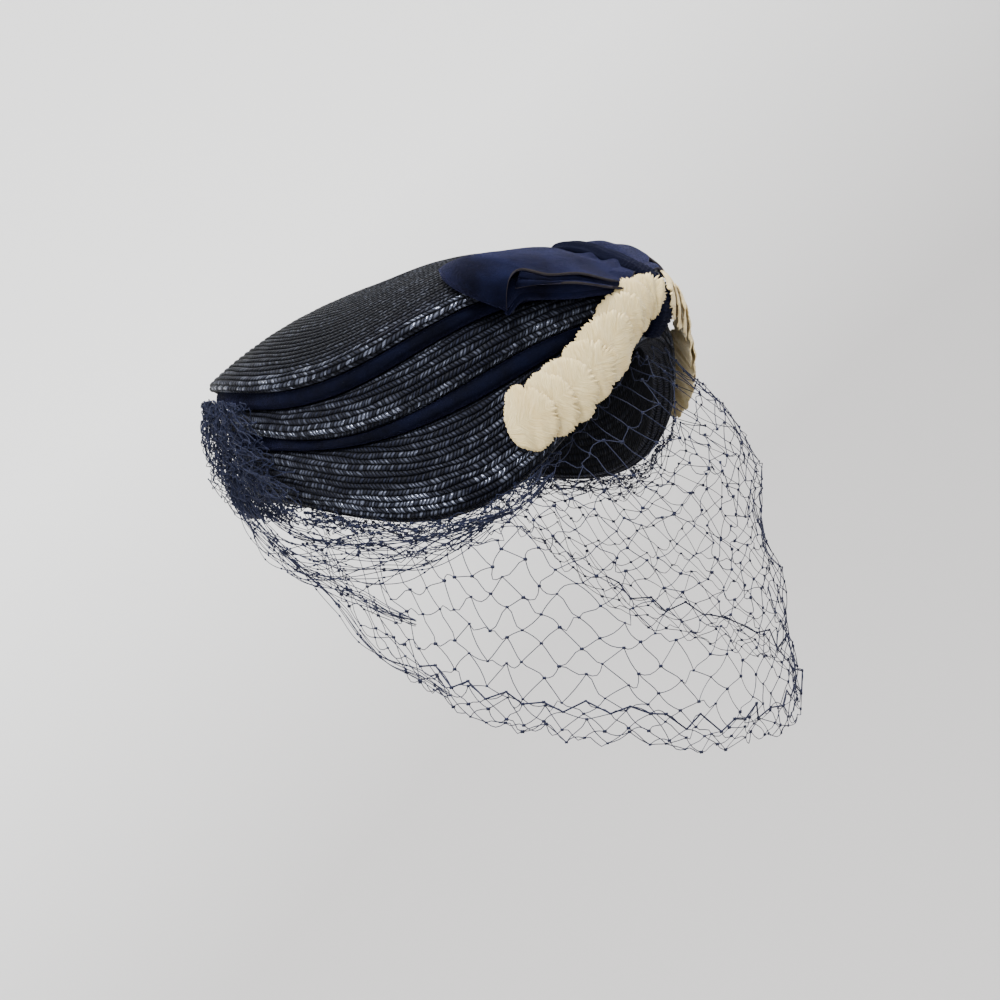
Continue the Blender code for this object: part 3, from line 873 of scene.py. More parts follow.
def rest_on_crown(grid):
    """Lifts what would sink into the dome until it lies on the straw."""
    share = LINES["top_edge"][0]
    across, ahead = grid[..., 0] / (HALF_WIDTH * share), -grid[..., 1] / (HALF_LENGTH * share)
    reach = np.hypot(across, ahead)
    surface = dome_points(np.minimum(reach, 1.0), np.arctan2(across, ahead))[..., 2] + CLEAR_OF_STRAW
    surface = np.where(reach > 1.0, surface - 4.0 * (reach - 1.0) * HALF_WIDTH, surface)
    lifted = grid.copy()
    lifted[..., 2] = np.maximum(grid[..., 2], surface)
    return lifted


# %% A ribbon with two faces, its gathers and its size
def thick_sheet(grid, thickness, first=0.0):
    """Points, faces and coordinates of a sheet with closed edges; v runs across it from first to 1."""
    rows, columns = grid.shape[:2]
    normal = unit(np.cross(np.gradient(grid, axis=0), np.gradient(grid, axis=1)))
    offset = normal * thickness / 2
    points = np.concatenate([(grid + offset).reshape(-1, 3), (grid - offset).reshape(-1, 3)])
    face = grid_faces(rows, columns)
    number = np.arange(rows * columns).reshape(rows, columns)
    border = np.concatenate([number[0, :-1], number[:-1, -1], number[-1, :0:-1], number[:0:-1, 0]])
    following = np.roll(border, -1)
    rim = np.stack([border, border + rows * columns, following + rows * columns, following], axis=1)
    faces = np.concatenate([face, face[:, ::-1] + rows * columns, rim])
    u, v = np.meshgrid(np.linspace(0.0, 1.0, rows), np.linspace(first, 1.0, columns), indexing="ij")
    per_point = np.tile(np.stack([u.ravel(), v.ravel()], axis=1), (2, 1))
    return points, faces, per_point[faces.ravel()]


def pleat(grid, seed, depth):
    """Soft gathers that run out from both ends of a ribbon, and slow waves everywhere."""
    rows, columns = grid.shape[:2]
    u = np.linspace(0.0, 1.0, rows)[:, None]
    v = np.linspace(0.0, 1.0, columns)[None, :]
    normal = unit(np.cross(np.gradient(grid, axis=0), np.gradient(grid, axis=1)))
    near_ends = np.exp(-np.minimum(u, 1.0 - u) / PLEAT_REACH)
    gathers = ripple(v * 6.0 + 0.25 * u, seed, waves=4, lowest=3.0, highest=5.0) * near_ends
    waves = ripple(u * 2.0 + 0.6 * v, seed + 1, waves=4, lowest=3.0, highest=9.0) * 0.45
    return grid + normal * ((gathers + waves) * depth)[..., None]


def ribbon_size(grid):
    """Mean width and length of a ribbon, measured along its own lines."""
    width = float(np.linalg.norm(np.diff(grid, axis=1), axis=2).sum(1).mean())
    length = float(np.linalg.norm(np.diff(grid, axis=0), axis=2).sum(0).mean())
    return width, length


# %% The two loops
RIGHT_LOOP = (
    ((-6, -70, 48), (-6, -77, 46.5), (-6, -84, 43), (-6, -91, 37.5), (-6, -97, 28.5)),
    ((-13, -66, 50), (-14, -75, 48), (-15, -84, 42), (-15, -92, 37), (-16, -98, 28)),
    ((-22, -58, 53.5), (-24, -69, 52), (-27, -80, 47), (-29, -89, 40.5), (-30, -97, 30.5)),
    ((-32, -51, 55.5), (-36, -62, 53.2), (-40, -74, 49.5), (-43, -84, 43.5), (-44, -93, 35)),
    ((-42, -45, 55.5), (-47, -55, 54.5), (-52, -66, 52), (-55, -77, 46), (-55, -86, 37)),
    ((-48, -39.5, 54.5), (-57, -48.5, 54), (-63, -58.5, 52.5), (-64, -68, 48.5), (-61, -78, 41.5)),
    ((-52, -40.5, 53), (-65, -48.5, 49.5), (-71, -58, 45), (-71, -66.5, 41.5), (-66, -74, 37.5)),
    ((-52, -42, 51), (-63, -51, 44), (-68, -61, 37), (-66, -67.5, 31.5), (-60.5, -67.5, 28)),
    ((-45, -47, 51), (-54, -60, 46), (-60, -70, 41), (-61, -75, 37), (-57, -73.5, 32.5)),
    ((-37, -54, 51), (-44, -68, 46.5), (-49, -78, 40.5), (-53, -82.5, 35.5), (-50, -80, 30.5)),
    ((-26, -62, 50), (-34, -75, 45), (-40, -84, 39), (-45, -89, 33.5), (-43, -86.5, 28.5)),
    ((-17, -68, 48), (-24, -79, 43.5), (-30, -88, 37.5), (-35, -93.5, 31.5), (-34, -92, 27.5)),
    ((-7, -71, 47), (-10, -80, 42.5), (-14, -89, 36), (-19, -96.5, 29.5), (-20, -97, 26.5)),
)
LEFT_LOOP = (
    ((6, -70, 48.5), (6, -77, 47), (6, -84, 44), (6, -90, 40), (7, -95, 33.5)),
    ((15, -66, 51), (15, -74, 50.5), (15, -82, 47.5), (15, -88, 42.5), (14, -93.5, 34)),
    ((27, -60, 54), (28, -68, 53.5), (28.5, -76, 50.5), (28.5, -83, 45.5), (28, -89, 38)),
    ((40, -53, 55.5), (42, -61, 54.5), (44, -69, 52), (45, -76, 48.5), (45, -82, 42)),
    ((49, -45, 54), (54, -54, 54), (57.5, -62, 52.5), (59, -69, 49.5), (58.5, -75, 45.5)),
    ((53, -44, 52), (61, -54, 49.5), (66, -62.5, 46), (67.5, -70, 42.5), (65.5, -77, 40)),
    ((51, -46, 50), (60, -56, 45.5), (64, -65, 41), (65, -73, 37), (63.5, -80, 34)),
    ((40, -55, 50), (46, -63, 45), (50, -71, 41), (52, -78, 36.5), (50, -86, 33)),
    ((27, -62, 49), (30, -71, 45), (32, -79, 41), (33.5, -86, 36), (33, -92, 31.5)),
    ((7, -71, 47), (7, -79, 44), (7, -86, 39.5), (7, -92, 35), (8, -97, 30)),
)


def make_loop(name, cage, seed, replaced):
    """One loop of ribbon on the dome, and the width and length of the strip that it was cut from."""
    grid = rest_on_crown(pleat(smooth_cage(cage, *LOOP_GRID), seed, LOOP_PLEAT))
    points, faces, coordinates = thick_sheet(grid, RIBBON)
    loop = make_piece(name, worn(points), faces, ribbon_velvet, coordinates)
    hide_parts(replaced)
    cut = ribbon_size(grid)
    print(name, "ribbon width and length:", [round(v, 3) for v in cut])
    return loop, cut


right_loop, right_cut = make_loop("velvet_bow_right_loop", RIGHT_LOOP, 31, "bow_right_loop")
left_loop, left_cut = make_loop("velvet_bow_left_loop", LEFT_LOOP, 47, "bow_left_loop")

# %% The two layers in the right loop's open mouth
UPPER_EDGE = np.array([RIGHT_LOOP[row][-1] for row in (5, 4, 3, 2, 1, 0)], float)
LOWER_EDGE = np.array([RIGHT_LOOP[row][-1] for row in (7, 8, 9, 10, 11, 12)], float)
# each point of a section: share of the way down the mouth, how far out and how far up, in millimetres
INNER_FOLD = ((0.0, -6.0, 0.5), (0.0, -2.0, -1.2), (0.14, -0.4, -1.4), (0.28, 1.6, -1.2), (0.42, 3.0, -0.8))
TURNED_TAIL = (
    (1.0, -8.0, 0.6), (1.0, -4.0, -0.2), (1.0, -1.0, -0.9), (1.0, 0.6, -0.4),
    (1.0, 1.3, 0.8), (1.0, 1.4, 2.0), (1.0, 1.0, 3.2),
)
LAYER_FULLNESS = (0.15, 0.9, 1.0, 1.0, 1.0, 0.9)


def make_layer(name, section, seed):
    """A strip of ribbon along the mouth; its free edge shows as one more line of selvage."""
    cage = []
    for upper, lower, fullness in zip(UPPER_EDGE, LOWER_EDGE, LAYER_FULLNESS):
        points = []
        for share, out, rise in section:
            place = upper + (lower - upper) * share
            away = np.array([place[0], place[1], 0.0]) / math.hypot(place[0], place[1])
            points.append(place + fullness * (away * out + np.array([0.0, 0.0, rise])))
        cage.append(points)
    grid = pleat(smooth_cage(cage, *LAYER_GRID), seed, LAYER_PLEAT)
    width, length = ribbon_size(grid)
    points, faces, coordinates = thick_sheet(grid, RIBBON, 1.0 - width / right_cut[0])
    layer = make_piece(name, worn(points), faces, ribbon_velvet, coordinates)
    print(name, "ribbon width and length:", round(width, 3), round(length, 3))


make_layer("velvet_bow_inner_fold", INNER_FOLD, 57)
make_layer("velvet_bow_tail", TURNED_TAIL, 63)

# %% [markdown]
# ### The strap
#
# A short length of the same velvet, gathered to about 15 mm, is pulled over the middle of the bow and
# down over the front of the crown, where it is stitched under. It is full, so it is a closed soft form:
# a rounded section swept down the front, with lengthwise folds on the top and close cross ribs where it
# bends over the edge.

# %% The strap over the middle of the bow
STRAP_WIDTH = 0.0152
STRAP_RINGS = 150
STRAP_AROUND = 48
STRAP_FRONT = 0.030
STRAP_BEND = 0.010
RIB_PITCH = 0.0017
RIB_DEPTH = 0.00032
FOLD_DEPTH = 0.00055
# each row: place from front to back, height and thickness in millimetres, and share of the width
STRAP_ROWS = (
    (-63.5, 52.0, 1.5, 0.70),
    (-67.0, 53.6, 4.0, 0.92),
    (-73.0, 52.8, 5.2, 1.00),
    (-80.0, 49.3, 5.4, 1.00),
    (-87.0, 44.4, 5.4, 1.00),
    (-93.5, 39.0, 5.2, 0.98),
    (-99.5, 33.6, 4.8, 0.96),
    (-103.4, 27.0, 4.8, 0.96),
    (-104.8, 20.0, 5.2, 0.98),
    (-103.2, 13.8, 5.4, 0.98),
    (-99.0, 9.4, 4.6, 0.94),
    (-94.5, 6.6, 2.6, 0.86),
)


def make_strap():
    """A closed rounded strap through the rows, ribbed where it comes down the front."""
    rows = np.array(STRAP_ROWS, float)
    count, around = STRAP_RINGS, STRAP_AROUND
    line = smooth_rows(rows, np.linspace(0.0, len(rows) - 1, count))
    path = np.stack([np.zeros(count), line[:, 0] / 1000.0, line[:, 1] / 1000.0], axis=1)
    run = unit(np.gradient(path, axis=0))
    outwards = np.stack([np.zeros(count), run[:, 2], -run[:, 1]], axis=1)
    along = along_line(path)
    turn = np.arange(around) * math.tau / around
    across = np.sign(np.cos(turn)) * np.abs(np.cos(turn)) ** 0.75
    deep = np.sign(np.sin(turn)) * np.abs(np.sin(turn)) ** 0.75
    front = np.clip((along - STRAP_FRONT) / STRAP_BEND, 0.0, 1.0)[:, None]
    ribs = front * RIB_DEPTH * np.sin(math.tau * along / RIB_PITCH + ripple(along * 300.0, 77) * 0.8)[:, None]
    fold_wave = np.sin(across * 9.0 + ripple(along * 40.0, 78)[:, None] * 0.9)
    folds = (1.0 - 0.7 * front) * FOLD_DEPTH * fold_wave
    half = (STRAP_WIDTH / 2 * line[:, 3])[:, None]
    thick = (line[:, 2] / 1000.0)[:, None]
    rise = (deep - 1.0)[None, :] * thick / 2 + (ribs + folds) * np.clip(deep + 0.4, 0.0, 1.0)[None, :]
    points = path[:, None, :] + outwards[:, None, :] * rise[..., None]
    points[..., 0] += across[None, :] * half * (1.0 + ribs * 60.0)
    ends = np.stack([points[0].mean(0), points[-1].mean(0)])
    faces = grid_faces(count, around, closed=True).tolist()
    first = count * around
    faces += [(first, (k + 1) % around, k) for k in range(around)]
    last = (count - 1) * around
    faces += [(first + 1, last + k, last + (k + 1) % around) for k in range(around)]
    every_point = worn(np.concatenate([points.reshape(-1, 3), ends]))
    strap = make_piece("velvet_strap", every_point, faces, strap_velvet)
    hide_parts("bow_knot")
    return strap


strap = make_strap()
print("bow:", sum(count_triangles(piece) for piece in (right_loop, left_loop, strap)), "triangles")

# %% [markdown]
# ## The feather pads
#
# Each side of the front carries a pad of clipped cream feathers, built up like scales: round petals about
# as wide as the pad, each glued over the root of the one nearer the strap, so that every free edge faces
# the strap and is a little ragged where the barbs end. A real feather could be made as thousands of
# single barbs. At this size they lie so close that a thin shaped petal with a ragged outline, and a
# shader that draws the barbs fanning out from the shaft, gives the same look.

# %% Feather barbs, as a node group, and the feathers' material
def make_barb_group():
    """Reads a petal's coordinates, root to tip and side to side; gives barb height, warm shade and blotches,
    and streaks.
    """
    tree, start, end = new_group(
        "feather barbs",
        [("Coordinates", "vector", None)],
        [("Height", "float"), ("Root shade and blotches", "float"), ("Streak", "float")],
    )
    wires = Wiring(tree)
    along, aside, _ = wires.split(start.outputs["Coordinates"])
    side = wires.math("ABSOLUTE", wires.math("SUBTRACT", aside, 0.5))
    fan = wires.math("MULTIPLY_ADD", side, -1.1, along)
    bend = wires.noise(start.outputs["Coordinates"], 3.0, 2.0)
    bent = wires.math("ADD", fan, wires.math("MULTIPLY", bend, 0.25))
    fine_place = wires.join(wires.math("MULTIPLY", bent, 60.0), wires.math("MULTIPLY", side, 5.0))
    fine = wires.noise(fine_place, 1.0, 3.0, 0.7)
    coarse_place = wires.join(wires.math("MULTIPLY", bent, 14.0), wires.math("MULTIPLY", side, 3.0))
    coarse = wires.noise(coarse_place, 1.0, 2.0)
    wires.set(end.inputs["Height"], wires.math("MULTIPLY_ADD", coarse, 0.9, fine))
    wires.set(end.inputs["Streak"], wires.remap(fine, 0.3, 0.7))
    # painted shade: only the first petal's root counts from 0 to 1 along itself, and the shade it lies in
    # under the others is painted warm
    root = wires.remap(along, 0.55, 0.1)
    blotch = wires.remap(wires.noise(start.outputs["Coordinates"], 2.2, 3.0, 0.6), 0.45, 0.72)
    shade_and_blotches = wires.math("MULTIPLY_ADD", root, 0.55, wires.math("MULTIPLY", blotch, 0.50), clamp=True)
    wires.set(end.inputs["Root shade and blotches"], shade_and_blotches)
    return tree


barb_group = make_barb_group()
DEEP_CREAM = (0.47, 0.340, 0.130, 1.0)
PALE_CREAM = (0.75, 0.625, 0.340, 1.0)
SHADE_AND_BLOTCH_CREAM = (0.52, 0.36, 0.145, 1.0)


def make_feather():
    """Cream feather, pale along some barbs and deeper along others, with random warm blotches and a warm
    painted shade at the first petal's root.
    """
    material, wires, shader = new_material("cream feather")
    barbs = wires.place(barb_group, Coordinates=wires.coordinates("UV"))
    body = wires.mix(barbs.outputs["Streak"], DEEP_CREAM, PALE_CREAM)
    # warm tone: random blotches plus painted shade at the first petal's root
    colour = wires.mix(barbs.outputs["Root shade and blotches"], body, SHADE_AND_BLOTCH_CREAM)
    wires.set(shader.inputs["Base Color"], colour)
    wires.set(shader.inputs["Normal"], wires.bump(barbs.outputs["Height"], 0.0005, 0.8))
    shader.inputs["Roughness"].default_value = 0.75
    shader.inputs["Specular IOR Level"].default_value = 0.3
    shader.inputs["Sheen Weight"].default_value = 0.25
    return material


feather = make_feather()
print("feather material:", feather.name)

# %% Petals on the crown's side
# angle from the front, height and width as shares, and how far it stands off to clear the strap
RIGHT_PAD_ROWS = (
    (7.5, 0.375, 0.84, 0.0030),
    (12.5, 0.335, 0.93, 0.0018),
    (19.5, 0.24, 0.98, 0.0008),
    (30.0, 0.03, 1.04, 0.0),
    (38.0, -0.08, 1.08, 0.0),
    (45.5, -0.16, 1.12, 0.0),
    (52.5, -0.21, 1.00, 0.0),
)
LEFT_PAD_ROWS = ((4.5, 0.365, 0.92, 0.0014), (10.0, 0.330, 1.00, 0.0010)) + RIGHT_PAD_ROWS[2:]
PAD_WIDTH = 0.0240
PAD_LENGTH = 0.098
PAD_RUN_ON = 0.105
PETALS = 8
PETAL_SPREAD = 0.97
FIRST_PETAL = 0.58
PETAL_LENGTH = 0.0240
PETAL_RINGS = 12
PETAL_AROUND = 180
PETAL_THICKNESS = 0.0007
PAD_FIT = 0.0006
TIP_LIFT = 0.0036
ROOT_LIFT = 0.0009
PETAL_CAMBER = 0.0021
PETAL_CURL = 0.0010
PETAL_WAVE = 0.00035


def pad_line(share, side):
    """Places on a pad's centre line, the way out there, and the pad's width."""
    pad_rows = RIGHT_PAD_ROWS if side < 0 else LEFT_PAD_ROWS
    table = smooth_rows(pad_rows, np.clip(share, 0.0, 1.0) * (len(pad_rows) - 1))
    angle, height, width, off = np.moveaxis(table, -1, 0)
    angle = side * np.radians(angle)
    place = line_points("middle_edge", angle, PAD_FIT) + plan_outwards(angle) * off[..., None]
    place[..., 2] = height * TIER_SPAN
    return place, plan_outwards(angle), width * PAD_WIDTH


def pad_frame(share, side):
    """Centre line of a pad with its directions across and out; it runs straight on past both ends."""
    place, outwards, width = pad_line(share, side)
    step = 0.02
    inner = np.clip(share, step, 1.0 - step)
    along = unit(pad_line(inner - step, side)[0] - pad_line(inner + step, side)[0])
    past_end = np.minimum(share, 0.0) + np.maximum(share - 1.0, 0.0)
    place = place - along * (past_end * PAD_RUN_ON)[..., None]
    return place, np.cross(along, outwards), outwards, width


# %% The outline of a petal, and its faces
def petal_outline(turn, seed):
    """How far a petal reaches each way: a broad shield with a ragged free edge."""
    body = 1.0 + 0.05 * np.cos(2.0 * turn + 0.4) + 0.04 * ripple(turn, seed, waves=3, lowest=2.0, highest=3.0)
    free = np.clip(0.35 + np.cos(turn), 0.0, 1.0)
    notch = np.abs(ripple(turn * 3.0, seed + 1, waves=5, lowest=3.0, highest=11.0)) ** 1.5
    fringe = ripple(turn * 10.0, seed + 2, waves=6, lowest=4.0, highest=12.0)
    return body - (0.085 * notch + 0.030 * fringe) * (0.35 + 0.65 * free)


def petal_faces():
    """Faces of a petal's upper and under sides, each round a hub, and of the edge between them."""
    half = 1 + PETAL_RINGS * PETAL_AROUND
    body = grid_faces(PETAL_RINGS, PETAL_AROUND, closed=True) + 1
    near = np.arange(PETAL_AROUND)
    far = (near + 1) % PETAL_AROUND
    hub = np.stack([np.zeros_like(near), far + 1, near + 1], axis=1)
    last_ring = 1 + (PETAL_RINGS - 1) * PETAL_AROUND
    edge = np.stack([near, far, far + half, near + half], axis=1) + last_ring
    faces = []
    for some_faces in (body, hub, body[:, ::-1] + half, hub[:, ::-1] + half, edge):
        faces += some_faces.tolist()
    return faces


# %% One petal, and the two pads
def make_petal(number, side):
    """One petal as a thin closed form, lying over the root of the petal before it."""
    chance = random.Random(1000 + 17 * number + (0 if side < 0 else 500))
    middle = PETAL_SPREAD * (number + FIRST_PETAL) / PETALS
    turn = np.arange(PETAL_AROUND) * math.tau / PETAL_AROUND
    ring = (np.arange(1, PETAL_RINGS + 1) / PETAL_RINGS)[:, None]
    reach = petal_outline(turn, 40 + 7 * number + (0 if side < 0 else 300))
    shape = np.cos(turn), np.sign(np.sin(turn)) * np.abs(np.sin(turn)) ** 0.92
    lean = chance.uniform(-0.10, 0.10)
    a = ring * (reach * shape[0])[None, :]
    b = ring * (reach * shape[1])[None, :]
    a, b = a * math.cos(lean) - b * math.sin(lean), a * math.sin(lean) + b * math.cos(lean)
    length = PETAL_LENGTH * chance.uniform(0.92, 1.08)
    place, across, outwards, width = pad_frame(middle - a * length / 2 / PAD_LENGTH, side)
    width = width * chance.uniform(0.96, 1.06)
    tip = np.clip(0.5 + 0.5 * a, 0.0, 1.0)
    # a scale's tip stands over its neighbour, its root lies under the next tip
    lift = ROOT_LIFT + TIP_LIFT * tip ** 1.2 * (1.0 - 0.25 * b ** 2)
    camber = PETAL_CAMBER * (1.0 - np.clip(np.abs(b), 0.0, 1.1) ** 2.2)
    curl = -PETAL_CURL * np.clip(ring - 0.86, 0.0, 1.0) / 0.14 * (tip > 0.6)
    wave = PETAL_WAVE * ripple(a * 4.0 + b * 2.0, 70 + number, waves=5, lowest=1.0, highest=4.0)
    out = lift + camber + curl * 0.6 + wave
    side_step = (b * width / 2)[..., None]
    surface = place + across * side_step + outwards * out[..., None]
    centre = surface[0].mean(0, keepdims=True)
    thickness = PETAL_THICKNESS * (1.0 - 0.75 * ring ** 3)
    under = surface - outwards * (thickness * np.ones_like(a))[..., None]
    centre_under = centre - outwards[:1, 0] * PETAL_THICKNESS
    points = np.concatenate([centre, surface.reshape(-1, 3), centre_under, under.reshape(-1, 3)])
    # each petal starts its own count along, so that no two show the same barbs
    spot = np.stack([0.5 + 0.5 * a, 0.5 + 0.5 * b], axis=-1).reshape(-1, 2) + number * np.array([3.0, 0.0])
    hub_spot = np.array([[0.5 + 3.0 * number, 0.5]])
    per_point = np.concatenate([hub_spot, spot, hub_spot, spot])
    return points, petal_faces(), per_point


def make_pad(name, side, replaced):
    """All petals of one pad as one piece; the petals nearer its end lie on top."""
    points, faces, coordinates, first = [], [], [], 0
    for number in range(PETALS):
        own_points, own_faces, per_point = make_petal(number, side)
        points.append(own_points)
        coordinates.append(per_point)
        order = 1 if side < 0 else -1
        faces += [tuple(corner + first for corner in face[::order]) for face in own_faces]
        first += len(own_points)
    per_point = np.concatenate(coordinates)
    corners = np.concatenate([np.array(face) for face in faces])
    pad = make_piece(name, worn(np.concatenate(points)), faces, feather, per_point[corners])
    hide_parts(replaced)
    return pad


right_pad = make_pad("right_feathers", -1, "right_feather_pad")
left_pad = make_pad("left_feathers", 1, "left_feather_pad")
print("feathers:", count_triangles(right_pad) + count_triangles(left_pad), "triangles")

# %% [markdown]
# ## The net veil
#
# The veil is a strip of knotted net with four-sided cells set on their corners, about 9 mm from knot to
# knot. It could be a see-through sheet with the net painted on, but threads this coarse throw their own
# shadows and hang slack, so each thread is a thin tube and each knot a small double lump.
#
# The strip is first laid out flat, as rows and columns of knots. Each knot is then placed on the hanging
# surface: rows are counted up from the hem, so the cells stay open low down. At the sides and the back,
# what the strip has too much of is bunched under the rim, as it is on the real hat. Near the front the
# cells run straight up to the straw, so the knots that would lie past the rim are left out there. Where
# two knots end up nearer to each other than their thread is long, the thread bows out to keep its length.

# %% The surface that the net hangs on
VEIL_DROP = 0.150
VEIL_FLARE = 0.054
VEIL_END = 114
VEIL_MARGIN = 6
VEIL_TOP_OUT = -0.0027
VEIL_TOP_UP = -0.0004
# drop and flare as shares, in even steps from the front to the end of the veil
VEIL_ROWS = (
    (1.00, 1.00),
    (0.92, 0.98),
    (0.73, 0.86),
    (0.57, 0.57),
    (0.43, 0.27),
    (0.25, 0.14),
    (0.11, 0.06),
)
# share of the way down, and share of the flare reached there
VEIL_PROFILE = ((0.0, 0.0), (0.13, 0.45), (0.28, 0.68), (0.45, 0.73), (0.71, 0.90), (0.87, 0.98), (1.0, 1.0))


def veil_fall(angle):
    """Drop and flare of the net at each angle."""
    mirrored = VEIL_ROWS[:0:-1] + VEIL_ROWS
    middle = len(VEIL_ROWS) - 1
    values = smooth_rows(mirrored, middle + middle * np.abs(np.degrees(angle)) / VEIL_END)
    return values[..., 0] * VEIL_DROP, values[..., 1] * VEIL_FLARE


def veil_place(angle, fall, out=0.0):
    """Points of the hanging surface in the worn frame; fall runs from 0 at the rim to 1 at the hem."""
    angle = np.asarray(angle, float)
    drop, flare = veil_fall(angle)
    falls, outs = zip(*VEIL_PROFILE)
    away = np.interp(fall, falls, outs) * flare + out
    place = worn(line_points("rim", angle, VEIL_TOP_OUT, VEIL_TOP_UP))
    place = place + plan_outwards(angle) * away[..., None]
    place[..., 2] -= fall * drop
    return place


# %% Threads as thin tubes
def tubes(curves, normals, radius, sides=4):
    """Open tubes round many curves of equal point count; one normal for each curve."""
    count, steps = curves.shape[:2]
    tangent = unit(np.gradient(curves, axis=1))
    side = unit(np.cross(tangent, normals[:, None, :]))
    upright = np.cross(side, tangent)
    radius = np.broadcast_to(np.asarray(radius, float).reshape(-1, 1, 1), (count, 1, 1))
    rings = []
    for k in range(sides):
        turn = math.tau * k / sides
        rings.append(curves + radius * (math.cos(turn) * side + math.sin(turn) * upright))
    points = np.stack(rings, axis=2).reshape(-1, 3)
    faces = grid_faces(steps, sides, closed=True)
    faces = (faces[None] + (np.arange(count) * steps * sides)[:, None, None]).reshape(-1, 4)
    return points, faces


# %% Knots as small double lumps
def knot_shape(segments, rings):
    """Two crossed ovals, as points for a knot of unit size, and their faces."""
    points, faces = [], []
    for lean in (-0.5, 0.5):
        first = len(points)
        cosine, sine = math.cos(lean), math.sin(lean)
        for ring in range(1, rings + 1):
            rise = math.pi * ring / (rings + 1)
            for segment in range(segments):
                turn = math.tau * segment / segments
                x, wide = math.cos(rise), 0.5 * math.sin(rise)
                y, z = wide * math.cos(turn), wide * math.sin(turn)
                points.append((x * cosine - y * sine, x * sine + y * cosine, z))
        faces += [tuple(face) for face in (grid_faces(rings, segments, closed=True) + first).tolist()]
        faces.append(tuple(first + k for k in range(segments))[::-1])
        faces.append(tuple(first + (rings - 1) * segments + k for k in range(segments)))
    return np.array(points), faces


def knots(centres, along, normals, sizes, segments=6, rings=3):
    """Knots at many places, laid along one direction and lying on a surface."""
    shape, faces = knot_shape(segments, rings)
    along = unit(along - (along * normals).sum(-1, keepdims=True) * normals)
    third = np.cross(normals, along)
    sizes = sizes[:, None, None]
    frames = np.stack([along, third, normals], axis=1)
    points = centres[:, None, :] + sizes * np.einsum("vk,nkj->nvj", shape, frames)
    every = [tuple(corner + n * len(shape) for corner in face) for n in range(len(centres)) for face in faces]
    return points.reshape(-1, 3), every


# %% Slack in the threads
def slack_curves(start, end, normals, length, seed, steps=5, most=0.0032, sag=0.35):
    """Curves between knots that bow out by what their thread has to spare, and hang down a little."""
    chance = np.random.default_rng(seed)
    chord = end - start
    span = np.linalg.norm(chord, axis=1)
    spare = np.maximum(length - span, 0.02 * length)
    bow = np.minimum(np.sqrt(0.375 * np.maximum(span, 0.2 * length) * spare), most)
    across = unit(np.cross(unit(chord), normals))
    turn = chance.normal(0.0, 0.9, len(start))
    lean = chance.choice([-1.0, 1.0], len(start)) * np.where(chance.random(len(start)) < 0.7, 1.0, 0.4)
    push = across * (lean * np.cos(turn))[:, None] + normals * (0.5 * np.sin(turn))[:, None]
    push[:, 2] -= sag
    double = chance.random(len(start)) < 0.45
    share = np.linspace(0.0, 1.0, steps)
    single_wave = np.sin(np.pi * share)
    double_wave = 0.6 * np.sin(2.0 * np.pi * share) + 0.35 * single_wave
    wave = np.where(double[:, None], double_wave[None], single_wave[None])
    straight = start[:, None] + chord[:, None] * share[None, :, None]
    return straight + push[:, None] * (bow[:, None] * wave)[:, :, None]


# %% The strip's cells, and its even spread round the hat
CELL_WIDE = 0.0150
CELL_HIGH = 0.0112
THREAD_LENGTH = 0.0094
THREAD_RADIUS = 0.00018
KNOT_SIZE = 0.00088
NET_ROWS = 30
HEM_ROWS = 4
HEM_STEP = 0.0042
RIM_BUNCH = 0.013
LEAST_FREE = 0.35
BUNCH_DEPTH = 3.0
# between these angles from the front the net goes over from plain to bunched
BUNCHED_FROM = (40.0, 60.0)
BUNCHING = (0.15, 1.0)
KEPT_PAST_RIM = (0.007, 0.2)
GIRTH_STEPS = 600
NET_GIRTH_FALL = 0.6
NET_FULLNESS = 1.06
NET_WOBBLE = 0.0014
NET_SCATTER = 0.0005
BUNCH_SCATTER = 0.0012
NET_SWAY = 0.018
HEM_STAND = 0.0015
LEAST_HEIGHT = 0.0006

girth_angles = np.radians(np.linspace(-VEIL_END, VEIL_END, GIRTH_STEPS))
girth_along = along_line(veil_place(girth_angles, np.full(GIRTH_STEPS, NET_GIRTH_FALL)))
net_columns = int(girth_along[-1] * NET_FULLNESS / CELL_WIDE)
print("net:", round(float(girth_along[-1]), 3), "m round, in", net_columns, "columns")


def angle_at(share):
    """Angles that share out the net evenly along its girth, a little above the hem."""
    even = np.interp(np.linspace(0, girth_along[-1], GIRTH_STEPS), girth_along, girth_angles)
    return np.interp(share, np.linspace(0.0, 1.0, GIRTH_STEPS), even)


# %% How each row of knots hangs
def bunched(angle):
    """Share of bunching under the rim: little at the front, where the cells run up to the straw."""
    return np.interp(np.abs(np.degrees(angle)), BUNCHED_FROM, BUNCHING)


def hang(angle, up_from_hem):
    """How far down the surface a knot lies, when its height above the hem is measured along the net."""
    drop, _ = veil_fall(angle)
    free = np.maximum(drop - RIM_BUNCH * bunched(angle), LEAST_FREE * drop)
    band = drop - free
    over = np.maximum(up_from_hem - free, 0.0)
    squeezed = free + band * (1.0 - np.exp(-over / (BUNCH_DEPTH * band)))
    rise = np.where(up_from_hem <= free, up_from_hem, squeezed)
    return 1.0 - rise / drop


def height_above_hem(row):
    """How far above the hem a row of knots lies along the net; the lowest rows are closer."""
    if row > 2:
        return (row + 0.5) * CELL_HIGH / 2 + 2.5 * (HEM_STEP - CELL_HIGH / 2)
    # the rows below the fold turn up again in front of the others
    return abs((row + 0.5) * HEM_STEP)


